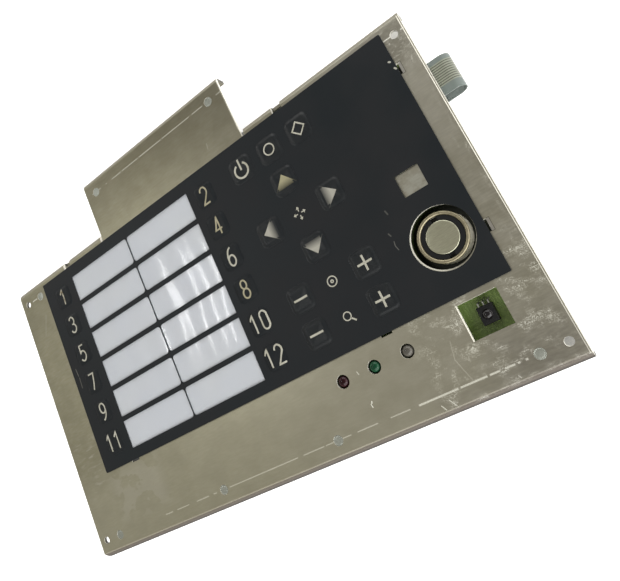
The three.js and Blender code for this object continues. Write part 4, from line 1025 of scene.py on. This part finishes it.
left, right, top, bottom, _, high = extent("label_window_film")
add_piece("window_film_sheet", film_sheet(left, right, top, bottom, high), film_finish,
          ["label_window_film"])
print("labels done")

# %% [markdown]
# ## The touch reader
# The cup, its insulator and the contact are turned or moulded round one axis, so each is a profile of
# radius and height carried round a circle. The cup's rim is rounded and polished; the contact is
# stamped, so it has a soft edge and a shallow crown.

# %% Turned pieces
def turned(profile, across, down, steps=72):
    """The profile (radius, height) carried round an upright axis at a place on the plate."""
    radius, height = np.asarray(profile, float).T
    turn = np.linspace(0, 2 * np.pi, steps, endpoint=False)
    x = across + radius[:, None] * np.cos(turn)
    y = down + radius[:, None] * np.sin(turn)
    return grid(spot(x, y, height[:, None]), around=True)


# %% [markdown]
# Turned and rolled metals look alike but for their colour, so one function makes them: it mixes two close
# tones by fine lumps and raises the same lumps a few thousandths of a millimetre.

# %% Metals
def metal(name, code, light_code, roughness, grain, depth):
    """A metal with fine turning or rolling marks of this grain and depth in mm."""
    material, shader = new_material(name, Metallic=1.0, Roughness=roughness)
    marks = lumps(material, grain, 3)
    share = add_node(material, "stretch", marks, 0.3, 0.7)
    feed(material, shader, Base_Color=add_node(material, "mix", share, linear(code), linear(light_code)),
         Normal=add_node(material, "bump", marks, depth * MM))
    return material


# Nickel-plated brass cup: turned, plated and polished on the rim, and left dull down its side.
rim_metal, rim_shader = new_material("satin_nickel_brass", Roughness=0.45)
m = rim_metal
side = add_node(m, "stretch", axes(m)[2], top_level - 0.7, top_level - 1.5)
polish = add_node(m, "stretch", lumps(m, 1.5, 3), 0.3, 0.7)
tone = add_node(m, "mix", polish, linear("#989078"), linear("#aaa289"))
feed(m, rim_shader, Base_Color=washed(m, tone, (side, "#b9b5a6")),
     Metallic=add_node(m, "stretch", side, 0, 1, 1, 0))
# Stamped nickel silver contact: rolled, blanked and tumbled, so it is satin and a little grey.
contact_metal = metal("satin_nickel_silver", "#b6b59f", "#c9c9b2", 0.36, (2.0, 0.3, 2.0), 0.006)
# Glass-filled black nylon: injection moulded, with a dull grey-black skin.
black_plastic = uneven("moulded_black_nylon", 2, "#090a0b", "#111213", relief=(0.25, 0.006), Roughness=0.5,
                       Specular_IOR_Level=0.3)

print("metals ready")

# %% [markdown]
# The cup's profile goes up its outside, over a rounded rim and down its bore. The contact's goes up its
# side and in to its crown, with one shallow groove pressed near the edge.

# %% The reader's pieces
left, right, _, _, foot, _ = extent("reader_shell")
CUP_WALL, CUP_ROUND = 1.55, 0.7
outer = (right - left) / 2
bore = outer - CUP_WALL
cup = [(bore, foot), (outer, foot), *arc((outer - CUP_ROUND, -CUP_ROUND), (CUP_ROUND, CUP_ROUND), 0, 90, 8),
       *arc((bore + CUP_ROUND, -CUP_ROUND), (CUP_ROUND, CUP_ROUND), 90, 180, 8), (bore, foot)]
add_piece("reader_cup", [turned(cup, *reader)], rim_metal, ["reader_shell"])

left, right, _, _, low, high = extent("reader_contact")
radius = (right - left) / 2
CROWN, CROWN_DROP = 0.02, 0.12  # how far the crown's middle lies under the top, and its edge under that
crown = [(radius * share, high - CROWN - CROWN_DROP * share**2) for share in (0.84, 0.6, 0.4, 0.2, 0.0)]
contact = [(0, low), (radius, low), (radius, high - 0.45), (radius - 0.06, high - 0.25),
           (radius - 0.25, high - 0.14), (radius * 0.93, high - 0.12), (radius * 0.9, high - 0.17),
           (radius * 0.87, high - 0.12), *crown]
add_piece("reader_button", [turned(contact, *reader)], contact_metal,
          ["reader_contact"])
finished_copy("reader_insulator", black_plastic, bevel=0.12)
print("reader done")

# %% [markdown]
# ## Lamps and the infrared receiver
# A lamp is an epoxy casting: a straight body with a domed end and a small flange. Unlit, a coloured lamp
# looks dark, with a paler ring where its reflector cup shows through. The receiver is a moulded block
# with a dome, on three tinned leads that bend down to the board. A lead is a small rectangle that is
# carried along a path, and where the path bends its corner is rounded first.


# %% Bars along a path
def bar(path, width, thickness, side=(0, 1, 0)):
    """A flat bar: a rectangle carried along a path of across, down and above, wide along side."""
    path, side = np.asarray(path, float), np.asarray(side, float)
    tangent = np.gradient(path, axis=0)
    normal = np.cross(side, tangent)
    normal /= np.linalg.norm(normal, axis=1, keepdims=True)
    corners = np.array([(-1, -1), (1, -1), (1, 1), (-1, 1)]) / 2
    section = corners[:, :1] * width * side + corners[:, 1:] * thickness * normal[:, None]
    points = path[:, None] + section
    return capped(spot(points[..., 0], points[..., 1], points[..., 2]))


def rounded_path(corners, radius, steps=5):
    """A path through these corners, with each inner corner replaced by a smooth quadratic turn."""
    corners = np.asarray(corners, float)
    path = [corners[:1]]
    for before, corner, after in zip(corners, corners[1:], corners[2:]):
        start = corner + (before - corner) * radius / np.linalg.norm(before - corner)
        end = corner + (after - corner) * radius / np.linalg.norm(after - corner)
        t = np.linspace(0, 1, steps)[:, None]
        path.append((1 - t) ** 2 * start + 2 * t * (1 - t) * corner + t * t * end)
    return np.concatenate([*path, corners[-1:]])


# Hot-dipped tin on copper leads: drawn wire with a bright, slightly lumpy coat.
tin = metal("hot_dipped_tin", "#b9bcbb", "#d2d4d2", 0.28, 0.8, 0.006)
print("lead metal:", tin.name)

# %% [markdown]
# A lamp's lens is one turned profile. Its pale ring is an attribute on the points, a bell curve of their
# distance from the lamp's axis, so it follows the dome.


# %% Lamps
def lens(name, body_code, ring_code):
    """Dyed cast epoxy: glossy from the polished mould, darker in the middle, with the cup's paler ring."""
    material, shader = new_material(name, Roughness=0.07, Specular_IOR_Level=0.25)
    ring = add_node(material, "attribute", attribute_name="ring")
    feed(material, shader, Base_Color=add_node(material, "mix", ring, linear(body_code), linear(ring_code)))
    return material


LED_RADIUS, LED_LIP, LED_LIP_HEIGHT, LEAD, LEAD_PITCH, SOLDER_GAP = 2.5, 0.4, 1, 0.5, 2.54, 0.1
RING_RADIUS, RING_WIDTH = 0.62, 0.14  # of the pale ring, as shares of the lamp's radius
lamps = (("led_red", "lamp_red", "#1d070b", "#34141b"), ("led_green", "lamp_green", "#0d3522", "#16492f"),
         ("led_clear", "lamp_clear", "#4b4944", "#625f58"))
foot = extent("control_board")[5] + SOLDER_GAP
shoulder = foot + LED_LIP_HEIGHT
for name, slot, body_code, ring_code in lamps:
    across, down = middle(name)
    tip, top = extent(name)[4:]
    lip = LED_RADIUS + LED_LIP
    dome = arc((0, top - LED_RADIUS), (LED_RADIUS, LED_RADIUS), 0, 90, 16)
    body = [(0, foot), (lip, foot), (lip, shoulder - 0.1), (lip - 0.1, shoulder), (LED_RADIUS, shoulder)]
    epoxy = lens(slot + "_epoxy", body_code, ring_code)
    lamp = add_piece("lens_" + name, [turned(body + dome, across, down)], epoxy, [name], smooth=50)
    from_axis = points_of(lamp) - spot(across, down)
    away = np.hypot(from_axis[:, 0], from_axis[:, 1]) / (LED_RADIUS * MM)
    note_on_points(lamp, "ring", np.exp(-(((away - RING_RADIUS) / RING_WIDTH) ** 2)))
    leads = [bar([(across + side * LEAD_PITCH / 2, down, level) for level in (tip, foot)], LEAD, LEAD)
             for side in (-1, 1)]
    add_piece("leads_" + name, leads, tin)
print("lamps:", len(lamps))

# %% [markdown]
# Moulded blocks, such as the receiver and the chip, have small rounds on all their edges. Here one is a
# stack of rounded rectangles, which draw in a little at the bottom and at the top.


# %% Infrared receiver
def block(across, down, half_across, half_down, bottom, top, corner=0.3, edge=0.2):
    """A moulded block: a rounded rectangle carried up, with its upper and lower edge rounded in."""
    rings = arc((edge, bottom + edge), (edge, edge), 270, 180, 4)
    rings += arc((edge, top - edge), (edge, edge), 180, 90, 4)
    outlines = [rounded(half_across - i, half_down - i, corner, 5) for i, _ in rings]
    rows = [outlines[0] * 0, *outlines, outlines[-1] * 0]
    levels = [bottom, *(z for _, z in rings), top]
    points = np.stack([spot(across + r[:, 0], down + r[:, 1], z) for r, z in zip(rows, levels)])
    return grid(points, around=True)


RECEIVER_HALF_ACROSS, RECEIVER_HALF_DOWN, RECEIVER_FRONT, RECEIVER_BACK = 3.0, 3.5, -3.0, -7.4
RECEIVER_LEAD_OUT, RECEIVER_LEAD_PITCH, RECEIVER_LEAD = 1.8, 2, (0.5, 0.45)
RECEIVER_DOME, DOME_CENTRE, DOME_START = 2.3, RECEIVER_FRONT - 1.2, 11.459  # mm, mm, degrees
across, down = reader_across + 0.5, 119.2
low = extent("ir_receiver")[4]
# Infrared-clear epoxy: dyed so that only infrared gets in; the eye sees glossy black.
dome_plastic = uneven("infrared_epoxy", 3, "#0d0b0d", "#171317", Roughness=0.1)
add_piece("receiver_body", [block(across, down, RECEIVER_HALF_ACROSS, RECEIVER_HALF_DOWN, RECEIVER_BACK,
                                  RECEIVER_FRONT)], black_plastic, ["ir_receiver"])
dome = arc((0, DOME_CENTRE), (RECEIVER_DOME, RECEIVER_DOME), DOME_START, 90, 14)
dome = [(0, RECEIVER_FRONT - 1.0), *dome]
add_piece("receiver_dome", [turned(dome, across, down, 48)], dome_plastic)
bend = down - RECEIVER_HALF_DOWN - RECEIVER_LEAD_OUT
middle_level = (RECEIVER_FRONT + RECEIVER_BACK) / 2
bends = ((down, middle_level), (bend, middle_level), (bend, low))
leads = [bar(rounded_path([(across + side * RECEIVER_LEAD_PITCH, *corner) for corner in bends], 0.8),
             *RECEIVER_LEAD, side=(1, 0, 0)) for side in (-1, 0, 1)]
add_piece("receiver_leads", leads, tin)
print("receiver done")

# %% [markdown]
# ## The board and what is on its back
# The circuit board is etched copper under a green lacquer: tracks run straight or at right angles, and
# they show as slightly paler lines. Cells of a square-cut Voronoi pattern give such lines.

# %% Board
# Lacquered glass-epoxy board: etched, screen coated and cured; olive green, glossy, with paler tracks.
board_finish, board_shader = new_material("green_lacquered_board", Roughness=0.3)
m = board_finish
TRACK_CELL = 14  # mm across one field of tracks
cells = add_node(m, "cells", scaled_place(m, (1000 / TRACK_CELL, 1000 / TRACK_CELL, 1)), 1.0, 0.8)
rings = add_node(m, "fract", add_node(m, "multiply", cells, 9.0))
tracks = product(m, add_node(m, "stretch", rings, 0.5, 0.56), add_node(m, "stretch", cells, 0.15, 0.2))
lacquer = add_node(m, "mix", product(m, tracks, 0.5), linear("#7a9350"), linear("#8aa25f"))
# Painted shade: the lacquer is darker under the reader and the side slots, on its front alone.
board_top = top_level + extent("control_board")[5]
shaded = [inside(m, 232, 240, slot_down - 4.2, slot_down + 4.8, 1) for slot_down in SIDE_SLOTS]
shaded = largest(m, near(m, *reader, 16, 16, 0.1875), *shaded)
shaded = product(m, shaded, add_node(m, "stretch", axes(m)[2], board_top - 0.5, board_top - 0.3))
feed(m, board_shader, Base_Color=washed(m, lacquer, (shaded, "#10160a")),
     Normal=add_node(m, "bump", tracks, 0.03 * MM))
finished_copy("control_board", board_finish, bevel=0.12)
print("board material:", len(m.node_tree.nodes), "nodes")

# %% [markdown]
# Four sleeves hold the board off the plate, and a nut on each stud holds it there. A sleeve is turned with
# a small bevel at both ends.

# %% Sleeves and nuts
# Zinc-plated steel hardware: turned or cold headed, plated blue-bright.
hardware = metal("bright_zinc_steel", "#aeb1ae", "#c3c5c1", 0.3, 1.2, 0.004)
BOLT_HOLE, SLEEVE_RADIUS, SLEEVE_EDGE = 1.7, 3.0, 0.15
for number in range(1, 5):
    name = "board_standoff_%d" % number
    low, high = extent(name)[4:]
    tube = [(BOLT_HOLE, low), (SLEEVE_RADIUS - SLEEVE_EDGE, low), (SLEEVE_RADIUS, low + SLEEVE_EDGE),
            (SLEEVE_RADIUS, high - SLEEVE_EDGE), (SLEEVE_RADIUS - SLEEVE_EDGE, high), (BOLT_HOLE, high),
            (BOLT_HOLE, low)]
    add_piece("sleeve_%d" % number, [turned(tube, *middle(name), 48)], hardware, [name])
    finished_copy("board_nut_%d" % number, hardware, bevel=0.25)
print("sleeves and nuts done")

# %% [markdown]
# The parts on the board's back have their real legs: the chip's are bent twice like a gull's wing, so that
# their feet lie flat on the board. A round dimple marks its first leg.

# %% Chip
across, down = middle("controller_chip")
low, high = extent("controller_chip")[4:]
CHIP_HALF, CHIP_LEGS, CHIP_LEG_PITCH, CHIP_LEG = 3.5, 8, 0.8, (0.35, 0.13)
dimple = [(0, low + 0.2), (0.45, low + 0.2), (0.45, low - 0.02), (0.35, low - 0.02), (0, low + 0.06)]
add_piece("chip_body", [block(across, down, CHIP_HALF, CHIP_HALF, low, high - 0.1, edge=0.15),
                        turned(dimple, across - 2.5, down - 2.5, 24)],
          black_plastic, ["controller_chip"])
wing = [(CHIP_HALF - 0.3, (low + high) / 2), (CHIP_HALF + 0.3, (low + high) / 2),
        (CHIP_HALF + 0.55, high - 0.07), (CHIP_HALF + 1.1, high - 0.07)]
legs = []
for along in (np.arange(CHIP_LEGS) - (CHIP_LEGS - 1) / 2) * CHIP_LEG_PITCH:
    for sign in (-1, 1):
        sideways = [(across + sign * out, down + along, level) for out, level in wing]
        lengthways = [(across + along, down + sign * out, level) for out, level in wing]
        legs.append(bar(rounded_path(sideways, 0.12, 3), *CHIP_LEG))
        legs.append(bar(rounded_path(lengthways, 0.12, 3), *CHIP_LEG, side=(1, 0, 0)))
add_piece("chip_legs", legs, tin)
print("chip legs:", len(legs))

# %% [markdown]
# Two sockets stand on the board's back: one takes the ribbon and one the lead to the machine, whose pins
# are a row of short square bars.

# %% Sockets
# Cream nylon sockets: moulded with polished flats.
cream_plastic = uneven("moulded_cream_nylon", 4, "#d6cfba", "#ddd7c5", Roughness=0.45)
for name in ("host_socket", "tail_socket"):
    finished_copy(name, cream_plastic, bevel=0.12)
HOST_PINS, HOST_PITCH, HOST_PIN = 10, 1.6, 0.58
right, (_, down), (low, high) = extent("host_socket")[1], middle("host_socket"), extent("host_socket")[4:]
pins = [bar([(right - back, down + place * HOST_PITCH, (low + high) / 2) for back in (4.5, 0.7)],
            HOST_PIN, HOST_PIN) for place in np.arange(HOST_PINS) - (HOST_PINS - 1) / 2]
add_piece("host_pins", pins, tin)
print("host pins:", len(pins))

# %% [markdown]
# ## The ribbon tail
# The tail is the keypad's own circuit film, cut 15 mm wide and bent round to its socket on the board's
# back. Its silver tracks run along it, so they are stripes across its width in the material.

# %% Ribbon tail
left, right, top, bottom, low, _ = extent("flex_tail")
TAIL_THICKNESS, DIP, DIP_ACROSS = 0.2, 1.0, 234.05
START_LEVEL, BACK_LEVEL, IN_SOCKET = 0.15, -2.5, 3.5
board_level = low + TAIL_THICKNESS / 2
loop = (BACK_LEVEL - board_level) / 2
# It starts flat, dips through the plate in two small bends, and turns back in one round loop.
route = [(left, START_LEVEL), *arc((DIP_ACROSS - DIP, START_LEVEL - DIP), (DIP, DIP), 90, 0, 9),
         *arc((DIP_ACROSS + DIP, BACK_LEVEL + DIP), (DIP, DIP), 180, 270, 9),
         *arc((right - TAIL_THICKNESS / 2 - loop, BACK_LEVEL - loop), (loop, loop), 90, -90, 40),
         (extent("tail_socket")[1] - IN_SOCKET, board_level)]
# Printed silver ink on clear polyester: nine tracks under a clear coat, with dark gaps between them.
tail_finish, tail_shader = new_material("silver_track_film", Roughness=0.32, Subsurface_Weight=0.6,
                                        Subsurface_Radius=(1.0, 1.0, 1.0), Subsurface_Scale=0.001)
m = tail_finish
TRACK_PITCH, FIRST_TRACK, LAST_TRACK = 0.98, 2.3, 9.2
from_first = add_node(m, "divide", add_node(m, "subtract", ruled(0, top + FIRST_TRACK)[1], axes(m)[1]),
                      TRACK_PITCH)
stripe = add_node(m, "absolute", add_node(m, "subtract", add_node(m, "fract", from_first), 0.5))
printed_zone = product(m, add_node(m, "stretch", from_first, -0.3, -0.1),
                       add_node(m, "stretch", from_first, LAST_TRACK + 0.1, LAST_TRACK - 0.1))
gaps = product(m, printed_zone, add_node(m, "stretch", stripe, 0.22, 0.14))
tail_tone = add_node(m, "mix", printed_zone, linear("#67706c"), linear("#85887a"))
feed(m, tail_shader, Base_Color=washed(m, tail_tone, (gaps, "#45473c")))
tail = bar([(across, (top + bottom) / 2, level) for across, level in route], bottom - top, TAIL_THICKNESS)
add_piece("tail_ribbon", [tail], tail_finish, ["flex_tail"])
print("tail done")

# %% [markdown]
# ## Press-in studs
# Each stud is cold headed and thread rolled, then pressed into the plate until its head is flush. A ring
# of fine teeth is pressed round the head. The thread is a turned surface whose radius also depends on
# the angle: it repeats once per pitch as the height or the angle goes on.

# %% Studs
# Pressed steel stud: zinc plated with a pale blue passivation, dull from the press.
stud_finish = metal("passivated_stud_steel", "#abafa6", "#b9bdb5", 0.42, 0.6, 0.006)
THREAD_PITCH, THREAD_DEPTH, THREAD_RADIUS, STUD_HEAD, PLATE_SHEET = 0.5, 0.28, 1.5, 2.1, 1.5


def threaded(across, down, low):
    """Shank of a stud: radius = 1.5 mm - depth * tooth(height / pitch - angle / full turn)."""
    turn = np.linspace(0, 2 * np.pi, 28, endpoint=False)[None, :]
    height = np.arange(low, -PLATE_SHEET - 0.3, THREAD_PITCH / 6)[:, None]
    phase = (height / THREAD_PITCH - turn / (2 * np.pi)) % 1
    tooth = np.abs(2 * phase - 1)
    lead_in = np.clip((height - low) / 0.6, 0, 1)
    radius = (THREAD_RADIUS - THREAD_DEPTH * tooth) * (0.72 + 0.28 * lead_in)
    body = spot(across + radius * np.cos(turn), down + radius * np.sin(turn), height + 0 * turn)
    ends = [spot(across + 0 * turn, down + 0 * turn, z) for z in (low, float(height[-1, 0]))]
    return grid(np.concatenate([ends[0], body, ends[1]]), around=True)


def head(across, down):
    """The flush head: a disc whose face has a shallow ring of radial teeth near its edge."""
    turn = np.linspace(0, 2 * np.pi, 96, endpoint=False)[None, :]
    teeth = np.cos(turn * 24)
    # From the middle out: the flat, the ring with its teeth, the rim, the side and the underside.
    radius = np.array([0, 1.3, 1.45, 1.6, 1.85, 1.95, STUD_HEAD, STUD_HEAD, 0])[:, None]
    level = np.array([-0.02, -0.02, -0.04, -0.08, -0.08, -0.03, -0.08, -PLATE_SHEET, -PLATE_SHEET])[:, None]
    bite = np.array([0, 0, 0, 0.025, 0.025, 0, 0, 0, 0])[:, None]
    points = spot(across + radius * np.cos(turn), down + radius * np.sin(turn), level + bite * teeth)
    return grid(points, around=True)


stud_nodes = [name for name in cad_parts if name.startswith("stud_")]
for name in stud_nodes:
    stud = [threaded(*middle(name), extent(name)[4]), head(*middle(name))]
    add_piece(name + "_threaded", stud, stud_finish, [name], smooth=50)
print("studs:", len(stud_nodes))

# %% [markdown]
# ## Last look
# The box of the dressed model is worked out, because dressing must not change the size of the part.

# %% Finish
low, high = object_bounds()
